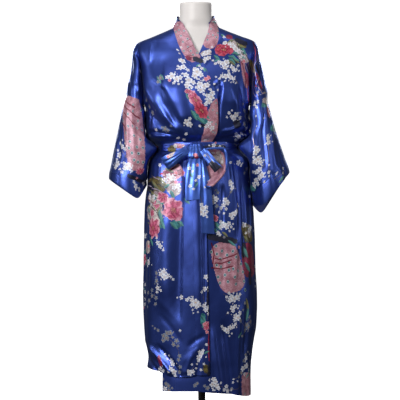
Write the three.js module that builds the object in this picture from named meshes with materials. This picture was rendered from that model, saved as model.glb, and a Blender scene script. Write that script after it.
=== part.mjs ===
// A wrap robe of kimono cut, worn on a plain dress form that stands on a pole and a round base.
// Millimetres, +Z up, the robe's front faces -Y, the origin is the middle of the base's underside.
import * as THREE from 'three';

// ---------------------------------------------------------------- driving sizes
const CLOTH = 1.6;            // wall of one layer of cloth
const BAND = 2.6;             // wall of the folded front band
const CUFF = 2.2;             // wall of the folded cuff band
const GAP = 0.3;              // clearance between sewn pieces
const NECK_LIFT = 1.4;        // the collar's seam stands this far above the neckline
const LAP = 8;                // how far the lapped front lies outside the layer under it
const SHOULDER_Z = 1415;      // neckline
const ARM_Z = 1162;           // bottom of the armhole seam, at the crease
const UNDERARM_Z = 1147;      // where side seam and sleeve seam meet
const BELT_Z = 1010, BELT_H = 28;
const FORM_BASE_Z = 700, POLE_R = 12.5, BASE_R = 160, BASE_H = 12;

// ---------------------------------------------------------------- tables
const table = (names, rows) => ({ names: names.split(' '), rows });

// Plan section of the robe: half widths to the wearer's right (left in front view) and left,
// depth in front and behind, and the squareness of the oval.
const BODY = table('z wl wr front back square', [
  [150, 186, 167, 122, 124, 2.3], [268, 184, 170, 123, 125, 2.3], [300, 180, 172, 124, 125, 2.3],
  [334, 184, 175, 124, 125, 2.3], [360, 189, 178, 124, 125, 2.3], [400, 189, 184, 125, 125, 2.3],
  [500, 189, 188, 127, 125, 2.3], [600, 185, 185, 128, 126, 2.3], [730, 182, 182, 129, 126, 2.3],
  [800, 179, 179, 129, 127, 2.3], [850, 175, 175, 128, 128, 2.3], [880, 171, 172, 126, 127, 2.3],
  [910, 168, 170, 121, 124, 2.25], [950, 163, 164, 111, 115, 2.2], [972, 151, 152, 100, 107, 2.2],
  [993, 131, 131, 89.5, 94.5, 2.1], [1010, 129, 129, 88, 93, 2.1], [1027, 131, 131, 89.5, 94, 2.1],
  [1050, 157, 160, 113, 103, 2.2], [1080, 167, 169, 121, 106, 2.3], [1110, 171, 172, 124, 108, 2.35],
  [1147, 176, 177, 126, 109, 2.4], [1162, 185, 185, 127, 109, 2.4], [1200, 189, 189, 126, 109, 2.4],
  [1225, 191, 191, 121, 108, 2.4], [1250, 194, 194, 112, 107, 2.4], [1300, 200, 200, 92, 104, 2.4],
  [1335, 206, 206, 81, 98, 2.35], [1363, 202, 202, 71, 90, 2.3], [1386, 150, 150, 63, 80, 2.2],
  [1402, 110, 110, 57, 72, 2.15], [1415, 80, 80, 52, 66, 2.1],
]);

// The dropped shoulder outside the crease: where the crease turns in, how deep it lies in front
// and behind, the bulge of the hanging cloth, its outer fold, and how far this shape is developed.
const CAP = table('z turn creaseF creaseB bulge outer open', [
  [1162, 77, 36, 38, 78, 243, 1], [1195, 73.5, 33, 38, 77, 240, 1], [1225, 72, 31, 38, 74, 234, 1],
  [1260, 71, 32, 40, 68, 227, 1], [1300, 69, 36, 46, 60, 219, 0.85], [1335, 70, 40, 50, 52, 214.5, 0.4],
  [1363, 69, 40, 50, 50, 202, 0], [1386, 70, 30, 40, 40, 150, 0], [1402, 74, 20, 30, 30, 110, 0],
  [1415, 80, 15, 20, 20, 80, 0],
]);

// Front edges, keyed by the height of the seam: seam, and the free edge of the band sewn to it.
const EDGE_TOP = table('z seam free freeZ', [
  [150, -18, 27, 150], [400, -18, 27, 400], [700, -20, 25, 700], [940, -20, 25, 940], [985, -16, 29, 985],
  [1010, -10, 34, 1010], [1031, 5, 50, 1031], [1058, 20, 64, 1058], [1098, 24, 68, 1098], [1147, 24, 68, 1148],
  [1204, 11, 55, 1210], [1233, 0, 43, 1242], [1265, -14, 29, 1276], [1293, -27, 17, 1305], [1325, -46, -2, 1337],
  [1345, -55, -11, 1357], [1370, -64, -22, 1384], [1400, -71.5, -34, 1410], [1415, -74, -43, 1425],
])
const EDGE_UNDER = table('z seam free freeZ', [
  [150, -88, -132, 150], [400, -85, -129, 400], [700, -75, -119, 700], [950, -60, -104, 950], [1010, -52, -96, 1010],
  [1060, -50, -94, 1060], [1100, -44, -90, 1102], [1145, -33, -77, 1148], [1183, -15, -57, 1189], [1242, 10, -31, 1252],
  [1286, 37, -6, 1299], [1310, 51, 9, 1322], [1327, 59, 17, 1339], [1358, 72, 30, 1371], [1380, 77, 38, 1391],
  [1400, 77, 44, 1411], [1415, 75, 50, 1428],
])

// Hems, keyed by the distance across (+ is to the right in front view).
const HEM_TOP = table('x z', [[-186, 268], [-145, 261], [-105, 247], [-71, 243], [-38, 245], [-5, 254], [22, 271], [60, 276]])
const HEM_UNDER = table('x z', [[-134, 179], [-80, 195], [-20, 195], [14, 191], [98, 182], [150, 170], [168, 168]])
const HEM_BACK = table('x z', [[-186, 268], [-137, 256], [-60, 226], [40, 196], [168, 168]]);

// Largest folds: bearing from the front middle (degrees, + to the right), drift per metre down,
// upper and lower ends, depth (- is a trough) and half width in degrees.
const FOLDS = table('bearing drift top foot depth spread', [
  [-52, -14, 1300, 1030, -6, 7], [-34, 14, 1310, 1030, 6, 6], [-64, -10, 1250, 1040, 5, 6], [40, -16, 1290, 1040, -6, 6],
  [52, -6, 1290, 1050, 6, 6], [-70, 0, 1090, 1015, -5, 6], [68, 0, 1090, 1015, -5, 6],
  [-30, -8, 985, 250, -7, 8], [-10, 4, 985, 180, 7, 8], [30, 6, 985, 250, -8, 8], [48, 6, 985, 130, 7, 8],
  [-66, 4, 980, 260, 6, 9], [70, -4, 980, 180, -6, 9], [112, -8, 1290, 1030, -6, 9], [140, -4, 980, 130, 8, 10],
  [165, 4, 985, 160, -8, 10], [-160, 2, 985, 200, 8, 10], [-130, -4, 980, 220, -7, 10], [-140, 8, 1300, 1030, 6, 9],
]);

// Free edge of the standing collar from the middle of the back (0) to the front (1).
const NECK = table('turn across back z', [
  [0, 0, 63, 1460], [0.25, 32, 57, 1460], [0.5, 55, 34, 1459], [0.72, 64, 4, 1456], [0.88, 58, -26, 1444], [1, 43, -47, 1427],
]);

// Sleeves from the armhole to the cuff: outer fold, inner fold, depths in front and behind, and how
// far the front and back layers sag below the line between the folds.
const SLEEVE = 'outX outZ inX inZ front back sagF sagB';
const SLEEVE_L = table(SLEEVE, [
  [248, 1165, 180, 1122, 80, 78, 4, 4], [258, 1126, 182.5, 1085, 84, 82, 8, 6], [270, 1074, 183.5, 1038, 89, 86, 12, 8],
  [282, 1020, 182, 990, 93, 90, 16, 10], [293, 968, 180, 940, 95, 92, 18, 10], [300, 938, 178.5, 900, 96, 93, 10, 6],
]);
const CUFF_L = table(SLEEVE, [[302, 925, 178.5, 891, 96, 93, 26, 12], [300, 911, 178.5, 882, 96, 92, 50, 14]]);
const SLEEVE_R = table(SLEEVE, [
  [240, 1165, 179.5, 1120, 80, 78, 4, 4], [250, 1126, 180.5, 1080, 84, 82, 6, 8], [263, 1074, 181, 1024, 89, 87, 8, 16],
  [277, 1024, 181, 970, 93, 91, 8, 26], [290, 986, 181.5, 912, 95, 94, 8, 36], [299, 960, 182, 856, 96, 95, 8, 44],
]);
const CUFF_R = table(SLEEVE, [[306, 940, 183, 832, 96, 95, 10, 50], [311, 921, 184, 808, 95, 94, 16, 56]]);
const RING_TURN = [0, 20, 40, 60, 82, 108, 140, 180, 220, 252, 278, 300, 320, 340];

// Dress form: half width, depth in front and behind, squareness.
const FORM = table('z half front back square', [
  [700, 150, 84, 96, 2.2], [706, 156, 94, 102, 2.2], [722, 162, 104, 108, 2.2], [780, 167, 112, 116, 2.2], [840, 163, 112, 117, 2.2],
  [900, 148, 105, 106, 2.2], [960, 128, 92, 88, 2.15], [1010, 113, 78, 80, 2.1], [1060, 123, 92, 84, 2.15], [1120, 139, 106, 90, 2.2],
  [1170, 152, 113, 94, 2.2], [1200, 159, 113, 96, 2.2], [1250, 171, 99, 97, 2.2], [1300, 183, 82, 94, 2.2], [1335, 189, 70, 88, 2.2],
  [1354, 188, 62, 80, 2.2], [1371, 173, 57, 75, 2.15], [1383, 146, 54, 70, 2.15], [1397, 110, 51, 66, 2.1], [1407, 88, 50, 62, 2.1],
  [1416, 71, 49, 60, 2.1], [1427, 62, 50, 58, 2.05], [1442, 58, 52, 59, 2], [1465, 56, 52, 59, 2], [1493, 56, 52, 59, 2], [1500, 51, 47, 54, 2],
]);

// ---------------------------------------------------------------- reading tables
// A smooth curve through a column, with no overshoot between rows.
function read(t, name, at) {
  const k = t.names.indexOf(name), r = t.rows, n = r.length;
  if (at <= r[0][0]) return r[0][k];
  if (at >= r[n - 1][0]) return r[n - 1][k];
  let i = 0;
  while (at > r[i + 1][0]) i++;
  const step = (a) => r[a + 1][0] - r[a][0], rise = (a) => (r[a + 1][k] - r[a][k]) / step(a);
  const slope = (a) => {
    if (a === 0) return rise(0);
    if (a === n - 1) return rise(n - 2);
    const p = rise(a - 1), q = rise(a);
    return p * q <= 0 ? 0 : 2 * p * q / (p + q);
  };
  const h = step(i), s = (at - r[i][0]) / h;
  return (1 + 2 * s) * (1 - s) ** 2 * r[i][k] + s * (1 - s) ** 2 * h * slope(i)
    + s * s * (3 - 2 * s) * r[i + 1][k] + s * s * (s - 1) * h * slope(i + 1);
}
const mix = (a, b, t) => a + (b - a) * t;
const rad = (d) => d * Math.PI / 180;
const smooth = (a, b, v) => { const t = Math.min(1, Math.max(0, (v - a) / (b - a))); return t * t * (3 - 2 * t); };
const add = (p, q, s = 1) => [p[0] + q[0] * s, p[1] + q[1] * s, p[2] + q[2] * s];
const sub = (p, q) => add(p, q, -1);
const cross = (a, b) => [a[1] * b[2] - a[2] * b[1], a[2] * b[0] - a[0] * b[2], a[0] * b[1] - a[1] * b[0]];
const dot = (a, b) => a[0] * b[0] + a[1] * b[1] + a[2] * b[2];
const unit = (a) => { const l = Math.hypot(...a) || 1; return a.map((v) => v / l); };
const dist = (p, q) => Math.hypot(...sub(p, q));

// ---------------------------------------------------------------- the robe's surface
function oval(z, bearing) {
  const s = Math.sin(rad(bearing)), c = Math.cos(rad(bearing)), e = 2 / read(BODY, 'square', z);
  const w = read(BODY, s < 0 ? 'wl' : 'wr', z), d = read(BODY, c > 0 ? 'front' : 'back', z);
  return [Math.sign(s) * w * Math.abs(s) ** e, -Math.sign(c) * d * Math.abs(c) ** e];
}
function foldDepth(z, bearing) {
  let sum = 0;
  for (const [at, drift, top, foot, depth, spread] of FOLDS.rows) {
    const t = (top - z) / (top - foot);
    if (t <= 0 || t >= 1) continue;
    let off = bearing - at - drift * (top - z) / 1000;
    off = ((off + 540) % 360) - 180;
    sum += depth * Math.sin(Math.PI * t) ** 0.7 * Math.exp(-((off / spread) ** 2));
  }
  return sum;
}
// A point of the robe at a height and bearing, moved out by `out`.
function robe(z, bearing, out = 0) {
  const p = oval(z, bearing), a = oval(z, bearing - 0.5), b = oval(z, bearing + 0.5);
  const t = [b[0] - a[0], b[1] - a[1]], l = Math.hypot(...t) || 1;
  const d = out + foldDepth(z, bearing);
  return [p[0] + t[1] / l * d, p[1] - t[0] / l * d, z];
}
function bearingOf(z, x) {
  const w = read(BODY, x < 0 ? 'wl' : 'wr', z), n = read(BODY, 'square', z);
  return Math.sign(x) * Math.asin(Math.min(1, (Math.abs(x) / w) ** (n / 2))) * 180 / Math.PI;
}
const lapAt = (z, bearing) => mix(LAP, 3, smooth(1330, 1410, z)) * smooth(-76, -52, bearing);

// One half of a panel. face +1 is the front and -1 the back, side -1 is left in front view.
// u runs 0 to 1 from the middle or the front edge to the crease or the side seam, and from
// 1 to 2 over the dropped shoulder.
function panelPoint({ side, face, start, lap }, z, u, upper) {
  const straight = (b) => (face > 0 ? b : Math.sign(b || side) * (180 - Math.abs(b)));
  const from = start(z), turn = upper ? read(CAP, 'turn', z) : 90;
  const out = (b) => (lap ? lapAt(z, b) : 0);
  const place = (b) => robe(z, straight(b), out(b));
  if (u <= 1) {
    const b = mix(from, side * turn, u), p = place(b);
    if (upper) {
      const edge = place(side * turn), deep = -face * read(CAP, face > 0 ? 'creaseF' : 'creaseB', z);
      p[1] += (deep - edge[1]) * smooth(0.7, 1, u) * read(CAP, 'open', z);
    }
    return p;
  }
  const t = u - 1, open = read(CAP, 'open', z), xs = side * read(CAP, 'outer', z);
  const crease = panelPoint({ side, face, start, lap }, z, 1, true);
  const ring = place(side * mix(turn, 90, t)), ringEnd = place(side * 90), ringStart = place(side * turn);
  const rx = crease[0] + (ring[0] - ringStart[0]) * (xs - crease[0]) / (ringEnd[0] - ringStart[0]);
  const ry = ring[1];
  const h = -face * read(CAP, 'bulge', z), d = xs - crease[0];
  const bez = (a, b, c, e) => a * (1 - t) ** 3 + 3 * b * t * (1 - t) ** 2 + 3 * c * t * t * (1 - t) + e * t ** 3;
  const bx = bez(crease[0], crease[0] + 0.15 * d, xs, xs), by = bez(crease[1], 1.25 * h, 0.9 * h, 0);
  return [mix(rx, bx, open), mix(ry, by, open), z];
}

// ---------------------------------------------------------------- walls of cloth
// Points pts[row][column] on the outer face; `has(i, j)` says which cells are cloth. The wall goes
// inwards by `thick`. side = +1 or -1 turns the outward direction.
function faceNormals(pts, has, wrap, side) {
  const R = pts.length, C = pts[0].length, at = (i, j) => pts[i][(j + C) % C];
  const n = pts.map((r) => r.map(() => [0, 0, 0]));
  for (let i = 0; i < R - 1; i++) for (let j = 0; j < (wrap ? C : C - 1); j++) {
    if (!has(i, j)) continue;
    const a = at(i, j), b = at(i, j + 1), c = at(i + 1, j), d = at(i + 1, j + 1);
    const f = unit(cross(sub(d, a), sub(c, b))).map((v) => v * -side);
    for (const [p, q] of [[i, j], [i, j + 1], [i + 1, j], [i + 1, j + 1]]) n[p][(q + C) % C] = add(n[p][(q + C) % C], f);
  }
  return n.map((r) => r.map(unit));
}
function wall({ pts, has = () => true, wrap = false, side = 1, thick = CLOTH, normals }) {
  const R = pts.length, C = pts[0].length, n = normals || faceNormals(pts, has, wrap, side);
  const width = wrap ? C : C - 1, inside = (i, j) => i >= 0 && i < R - 1 && (wrap ? has(i, (j + C) % C) : j >= 0 && j < width && has(i, j));
  const pos = [], index = [], id = new Map();
  const vertex = (i, j, inner) => {
    const jj = (j + C) % C, key = (i * C + jj) * 2 + inner;
    if (!id.has(key)) { id.set(key, pos.length / 3); pos.push(...(inner ? add(pts[i][jj], n[i][jj], -thick) : pts[i][jj])); }
    return id.get(key);
  };
  const tri = (a, b, c) => index.push(a, b, c);
  const quad = (a, b, c, d) => { tri(a, b, c); tri(a, c, d); };
  for (let i = 0; i < R - 1; i++) for (let j = 0; j < width; j++) {
    if (!inside(i, j)) continue;
    const flip = dist(pts[i][j], pts[i + 1][(j + 1) % C]) > dist(pts[i][(j + 1) % C], pts[i + 1][j]);
    for (const inner of [0, 1]) {
      const a = vertex(i, j, inner), b = vertex(i, j + 1, inner), c = vertex(i + 1, j + 1, inner), d = vertex(i + 1, j, inner);
      const q = flip ? [[b, c, d], [b, d, a]] : [[a, b, c], [a, c, d]];
      for (const [x, y, z] of q) inner ? tri(x, z, y) : tri(x, y, z);
    }
    const rim = (i1, j1, i2, j2) => quad(vertex(i1, j1, 0), vertex(i1, j1, 1), vertex(i2, j2, 1), vertex(i2, j2, 0));
    if (!inside(i - 1, j)) rim(i, j, i, j + 1);
    if (!inside(i + 1, j)) rim(i + 1, j + 1, i + 1, j);
    if (!inside(i, j - 1)) rim(i + 1, j, i, j);
    if (!inside(i, j + 1)) rim(i, j + 1, i + 1, j + 1);
  }
  return solid(pos, index);
}
function solid(pos, index) {
  let v = 0;
  const p = (k) => pos.slice(3 * k, 3 * k + 3);
  for (let i = 0; i < index.length; i += 3) v += dot(p(index[i]), cross(p(index[i + 1]), p(index[i + 2])));
  if (v < 0) for (let i = 0; i < index.length; i += 3) [index[i + 1], index[i + 2]] = [index[i + 2], index[i + 1]];
  const g = new THREE.BufferGeometry();
  g.setAttribute('position', new THREE.Float32BufferAttribute(pos, 3));
  g.setIndex(index);
  g.computeVertexNormals();
  return g;
}
// A solid through closed rings, capped at both ends.
function loft(rings) {
  const pos = [], index = [], C = rings[0].length, R = rings.length;
  for (const r of rings) for (const q of r) pos.push(...q);
  for (let i = 0; i < R - 1; i++) for (let j = 0; j < C; j++) {
    const a = i * C + j, b = i * C + (j + 1) % C, c = a + C, d = b + C;
    index.push(a, b, d, a, d, c);
  }
  for (const end of [0, R - 1]) {
    const m = pos.length / 3, mid = rings[end].reduce((s, q) => add(s, q, 1 / C), [0, 0, 0]);
    pos.push(...mid);
    for (let j = 0; j < C; j++) {
      const a = end * C + j, b = end * C + (j + 1) % C;
      end ? index.push(a, b, m) : index.push(b, a, m);
    }
  }
  return solid(pos, index);
}

// ---------------------------------------------------------------- meshes
const group = new THREE.Group();
const looks = {
  satin: new THREE.MeshStandardMaterial({ color: 0x2a3f9a, roughness: 0.32, metalness: 0.1, side: THREE.DoubleSide }),
  form: new THREE.MeshStandardMaterial({ color: 0xdfdcd6, roughness: 0.6, metalness: 0 }),
  metal: new THREE.MeshStandardMaterial({ color: 0x3c3d40, roughness: 0.45, metalness: 0.6 }),
};
function put(name, geometry, look = 'satin') {
  const mesh = new THREE.Mesh(geometry, looks[look]);
  mesh.name = name;
  group.add(mesh);
}

// ---------------------------------------------------------------- front and back panels
const UPPER = [1415, 1400, 1384, 1363, 1335, 1300, 1262, 1225];   // rows above the armhole seam
const LOWER = [1112, 1080, 1050, 1027, 1010, 993, 972, 945, 905, 850, 780, 700, 600, 500, 420, 370];
const K = UPPER.length, CAPS = 6;

// Height of the armhole seam over the dropped shoulder, t = 0 at the crease and 1 at the outer fold.
const seamZ = (t) => ARM_Z + 33 * t ** 0.8;

function halfPanel(o, cols, hem) {
  const rows = [], us = Array.from({ length: cols + 1 }, (_, j) => j / cols);
  const caps = Array.from({ length: CAPS }, (_, j) => 1 + (j + 1) / CAPS);
  for (const z of UPPER) rows.push([...us, ...caps].map((u) => panelPoint(o, z, u, true)));
  rows.push([...us, ...caps].map((u) => panelPoint(o, u > 1 ? seamZ(u - 1) : ARM_Z, u, true)));
  const low = (z) => us.map((u) => panelPoint(o, z, u, false)).concat(caps.map(() => [0, 0, 0]));
  rows.push(low(UNDERARM_Z));
  for (const z of LOWER) rows.push(low(z));
  const last = LOWER[LOWER.length - 1];
  for (const part of [1 / 3, 2 / 3, 1]) {
    rows.push(us.map((u) => {
      const x = panelPoint(o, 260, u, false)[0];
      return panelPoint(o, mix(last, read(hem, 'z', x), part), u, false);
    }).concat(caps.map(() => [0, 0, 0])));
  }
  return rows;
}
const shift = (pts, cells, d) => { for (const [i, j] of cells) pts[i][j] = add(pts[i][j], d); };

const frontCols = 11, backCols = 9;
const kinds = {
  left: { side: -1, face: 1, start: (z) => bearingOf(z, read(EDGE_TOP, 'seam', z)), lap: true },
  right: { side: 1, face: 1, start: (z) => bearingOf(z, read(EDGE_UNDER, 'seam', z)), lap: false },
  backL: { side: -1, face: -1, start: () => 0, lap: false },
  backR: { side: 1, face: -1, start: () => 0, lap: false },
};
const fl = halfPanel(kinds.left, frontCols, HEM_TOP), fr = halfPanel(kinds.right, frontCols, HEM_UNDER);
const bl = halfPanel(kinds.backL, backCols, HEM_BACK), br = halfPanel(kinds.backR, backCols, HEM_BACK);
const back = bl.map((r, i) => [...r.slice().reverse(), ...br[i].slice(1)]);
const backMid = backCols + CAPS;

// cells below the armhole reach only to the side seam
const frontHas = (i, j) => j < frontCols || i < K;
const backHas = (i, j) => (j >= CAPS && j < 2 * backMid - CAPS) || i < K;

// outline of each panel from neck to hem along shoulder, outer fold and side seam
const outline = (cols) => fl.map((_, i) => (i <= K ? cols + CAPS : cols));
const frontEnd = outline(frontCols), backEnd = outline(backCols);

const nl = faceNormals(fl, frontHas, false, 1), nr = faceNormals(fr, frontHas, false, -1);
const nb = faceNormals(back, backHas, false, 1);
for (let i = 0; i < fl.length; i++) {
  for (const [front, n, sgn] of [[fl, nl, -1], [fr, nr, 1]]) {
    const jf = frontEnd[i], jb = backMid + sgn * backEnd[i];
    const m = unit([n[i][jf][0] + nb[i][jb][0], 0, n[i][jf][2] + nb[i][jb][2]]);
    n[i][jf] = m; nb[i][jb] = m;
    front[i][jf] = add(front[i][jf], [0, -GAP / 2, 0]);
    back[i][jb] = add(back[i][jb], [0, GAP / 2, 0]);
  }
}
put('front_right_lapped', wall({ pts: fl, has: frontHas, normals: nl }));
put('front_left_under', wall({ pts: fr, has: frontHas, normals: nr }));
put('back', wall({ pts: back, has: backHas, normals: nb }));

// ---------------------------------------------------------------- bands and collar
// Each band runs from the middle of the back neckline, round the neck, and down one front edge.
function bandPiece(side, front, nFront, edge, hem, lap) {
  const seam = [], normal = [], free = [];
  const neck = [], neckN = [];
  for (let j = 0; j <= backMid; j++) { const q = backMid + side * j; neck.push(back[0][q]); neckN.push(nb[0][q]); }
  neck.pop(); neckN.pop();
  const total = front[0].length;
  for (let j = total - 1; j >= 1; j -= 2) { neck.push(front[0][j]); neckN.push(nFront[0][j]); }
  const run = [0];
  for (let i = 1; i < neck.length; i++) run.push(run[i - 1] + dist(neck[i], neck[i - 1]));
  const all = run[run.length - 1] + dist(front[0][0], neck[neck.length - 1]);
  neck.forEach((p, i) => {
    const t = run[i] / all;
    if (i === 0) p = add(p, [side * GAP / 2, 0, 0]);
    seam.push(add(p, [0, 0, NECK_LIFT])); normal.push(null);
    free.push([side * read(NECK, 'across', t) + (i === 0 ? side * GAP / 2 : 0), read(NECK, 'back', t), read(NECK, 'z', t)]);
  });
  for (let i = 0; i < front.length; i++) {
    const z = front[i][0][2], zf = i >= front.length - 1 ? z : read(edge, 'freeZ', z), x = read(edge, 'free', z);
    const toFree = -side;
    let f;
    if (i === 0) f = [side * read(NECK, 'across', 1), read(NECK, 'back', 1), read(NECK, 'z', 1)];
    else {
      const zz = Math.min(zf, 1432), b = bearingOf(Math.min(zz, 1412), x);
      f = robe(Math.min(zz, 1412), b, lap ? lapAt(zz, b) : 0);
      f[2] = zz;
    }
    seam.push(add(front[i][0], [toFree * GAP, 0, i < 4 ? NECK_LIFT * (1 - i / 4) : 0])); normal.push(nFront[i][0]);
    free.push(f);
  }
  const pts = seam.map((s, i) => {
    const f = free[i], row = [s];
    for (const t of [0.5, 1]) {
      let q = add(s, sub(f, s), t);
      if (i > neck.length && t < 1) {   // keep the middle of the band on the robe's surface
        const z = q[2], b = bearingOf(Math.min(z, 1412), q[0]), r = robe(Math.min(z, 1412), b, lap ? lapAt(z, b) : 0);
        q = [q[0], r[1], z];
      }
      row.push(q);
    }
    return row;
  });
  const n = faceNormals(pts, () => true, false, side);
  normal.forEach((v, i) => { n[i][0] = i < neck.length + 4 ? unit([n[i][0][0], n[i][0][1], Math.min(0, n[i][0][2])]) : v; });
  return wall({ pts, normals: n, thick: BAND });
}
put('band_right_lapped', bandPiece(-1, fl, nl, EDGE_TOP, HEM_TOP, true));
put('band_left_under', bandPiece(1, fr, nr, EDGE_UNDER, HEM_UNDER, false));

// ---------------------------------------------------------------- sleeves and cuffs
function sleeveRing(side, row) {
  const [ox, oz, ix, iz, front, behind, sagF, sagB] = row;
  return RING_TURN.map((a) => {
    const s = Math.sin(rad(a)), c = (1 - Math.cos(rad(a))) / 2, f = s >= 0;
    const e = Math.abs(s) ** 0.85;
    return [side * mix(ox, ix, c), -(f ? front : -behind) * e, mix(oz, iz, c) - (f ? sagF : sagB) * Math.abs(s) ** 0.8 * (0.7 + 0.45 * c)];
  });
}
function armhole(side, front, sgn) {
  const ring = [], fN = frontCols + CAPS;
  for (let j = fN; j >= frontCols; j--) ring.push(front[K][j]);
  ring.push(front[K + 1][frontCols]);
  for (let j = backCols; j < backCols + CAPS; j++) ring.push(back[K][backMid + side * j]);
  return ring.map((p, i) => {
    const near = i === 7 ? [side * 2.4, 0, -3] : i === 6 || i === 8 ? [side * 1.4, 0, -1.6] : [side * 0.15, 0, -0.5];
    const q = add(p, near);
    if (i === 0 || i === 7) q[1] = 0;
    return q;
  });
}
function sleeve(side, name, front, rows, cuffRows) {
  const rings = [armhole(side, front), ...rows.rows.map((r) => sleeveRing(side, r))];
  const nSleeve = faceNormals(rings, () => true, true, -side);
  put(`sleeve_${name}`, wall({ pts: rings, wrap: true, normals: nSleeve }));
  const seam = rings[rings.length - 1].map((p) => add(p, [0, 0, -0.8]));
  const cuff = [seam, ...cuffRows.rows.map((r) => sleeveRing(side, r))], all = () => true;
  const n = faceNormals(cuff, all, true, -side);
  n[0] = nSleeve[rings.length - 1];
  put(`cuff_${name}`, wall({ pts: cuff, wrap: true, normals: n, thick: CUFF }));
}
sleeve(-1, 'right', fl, SLEEVE_L, CUFF_L);
sleeve(1, 'left', fr, SLEEVE_R, CUFF_R);

// ---------------------------------------------------------------- belt and bow
const beltOut = (b) => 4.4 + lapAt(1000, b) * (1 - smooth(18, 40, b));
const onSkirt = (x, z, out) => { const b = bearingOf(z, x), p = robe(z, b, out + lapAt(z, b) * 1); return [x, p[1], z]; };
{
  const rows = [];
  for (const [v, swell] of [[-0.5, -0.6], [-0.25, 0.9], [0, 1.4], [0.25, 0.9], [0.5, -0.6]]) {
    const r = [];
    for (let b = -180; b < 180; b += 10) r.push(robe(BELT_Z - v * BELT_H, b, beltOut(b) + swell));
    rows.push(r);
  }
  put('belt_waist', wall({ pts: rows, wrap: true, side: -1, thick: 2 }));
}
// knot: a rounded pad in front of the belt
const KNOT = { x: -9, z: 995, w: 23, h: 27, back: -104.2, deep: 24, lean: 0.42 };
{
  const rings = [], N = 14;
  for (const [t, s] of [[0, 0.72], [0.2, 0.95], [0.5, 1], [0.8, 0.86], [1, 0.55]]) {
    const r = [];
    for (let i = 0; i < N; i++) {
      const a = 2 * Math.PI * i / N, c = Math.cos(a), q = Math.sin(a);
      const z = KNOT.z + KNOT.h * s * Math.sign(q) * Math.abs(q) ** 0.8;
      r.push([KNOT.x + KNOT.w * s * Math.sign(c) * Math.abs(c) ** 0.8, KNOT.back - KNOT.deep * t - KNOT.lean * Math.max(0, 1004 - z), z]);
    }
    rings.push(r);
  }
  put('belt_knot', loft(rings));
}
// A strip that runs through stations: middle of the strip, the direction across it, and its width.
function strip(stations, across, thick = CLOTH, side = 1) {
  const pts = stations.map(({ at, dir, wide }) => Array.from({ length: across + 1 }, (_, j) => add(at, unit(dir), wide * (j / across - 0.5))));
  return wall({ pts, side, thick });
}
// left loop: out from the knot, round its end and back behind
{
  const root = [-36, 0, 1001], tip = [-112, 0, 955], n = 7, st = [];
  const dir = unit([tip[2] - root[2], 0, -(tip[0] - root[0])]);
  for (let i = 0; i <= 2 * n; i++) {
    const t = i / n, r = t <= 1 ? t : 2 - t, front = t <= 1 ? 1 : -1;
    const x = mix(root[0], tip[0], Math.sin(r * Math.PI / 2) ** 0.9), z = mix(root[2], tip[2], Math.sin(r * Math.PI / 2) ** 0.9);
    const body = Math.min(onSkirt(x, z, 0)[1], onSkirt(x + 12, z - 20, 0)[1]), open = Math.sqrt(Math.max(0, 1 - r * r)) * 0.9;
    const y = Math.min(body, -104) - 15 - front * 9 * open - (1 - r) * 2;
    st.push({ at: [x, y, z], dir, wide: mix(30, 44, smooth(0, 0.6, r)) });
  }
  put('belt_loop_left', strip(st, 3, CLOTH, 1));
}
// right loop: an open ring of the sash seen along its edge
const LOOP_RIM = table('x z', [[22, 1000], [55, 1001], [86, 1003], [94, 985], [95, 952], [82, 918], [58, 888], [36, 872], [24, 880]]);
{
  const mid = [56, 958], st = LOOP_RIM.rows.map(([x, z]) => {
    const body = Math.min(onSkirt(x, z, 0)[1], onSkirt(x, z - 25, 0)[1], onSkirt(x + 10, z, 0)[1]);
    const inward = [mid[0] - x, 0, mid[1] - z], rim = [x, body - 36, z];
    const d = unit(add([0, 0.8, 0], unit(inward), 0.6));
    return { at: add(rim, d, 18), dir: d, wide: 36 };
  });
  put('belt_loop_right', strip(st, 2, CLOTH, -1));
}
// the strand that crosses the right loop
{
  const root = [20, 996], tip = [66, 932], dir = unit([tip[1] - root[1], 0, -(tip[0] - root[0])]), st = [];
  for (let i = 0; i <= 5; i++) {
    const t = i / 5, x = mix(root[0], tip[0], t), z = mix(root[1], tip[1], t);
    st.push({ at: [x, onSkirt(x, z, 0)[1] - 47 - 4 * Math.sin(Math.PI * t), z], dir, wide: mix(24, 30, t) });
  }
  put('belt_strand_right', strip(st, 2, CLOTH, 1));
}
// hanging ends
const TAIL = 'z x wide out';
const TAIL_SHORT = table(TAIL, [[834, -19, 48, 13], [860, -19, 48, 13], [890, -17, 47, 14], [920, -14, 45, 16], [945, -12, 42, 19], [966, -11, 36, 22]]);
const TAIL_LONG = table(TAIL, [[722, 25, 51, 5], [760, 24, 50, 5], [800, 22, 50, 6], [840, 21, 48, 6], [880, 19, 44, 6], [920, 16, 34, 7], [950, 12, 24, 9], [966, 10, 18, 12]]);
function tail(t, across) {
  const st = t.rows.slice().reverse().map(([z, x, wide, out]) => {
    const pts = [];
    for (let j = 0; j <= across; j++) { const xx = x + wide * (j / across - 0.5); pts.push(onSkirt(xx, z, out)); }
    return pts;
  });
  return wall({ pts: st, side: -1 });
}
put('belt_tail_short', tail(TAIL_SHORT, 3));
put('belt_tail_long', tail(TAIL_LONG, 3));

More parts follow.
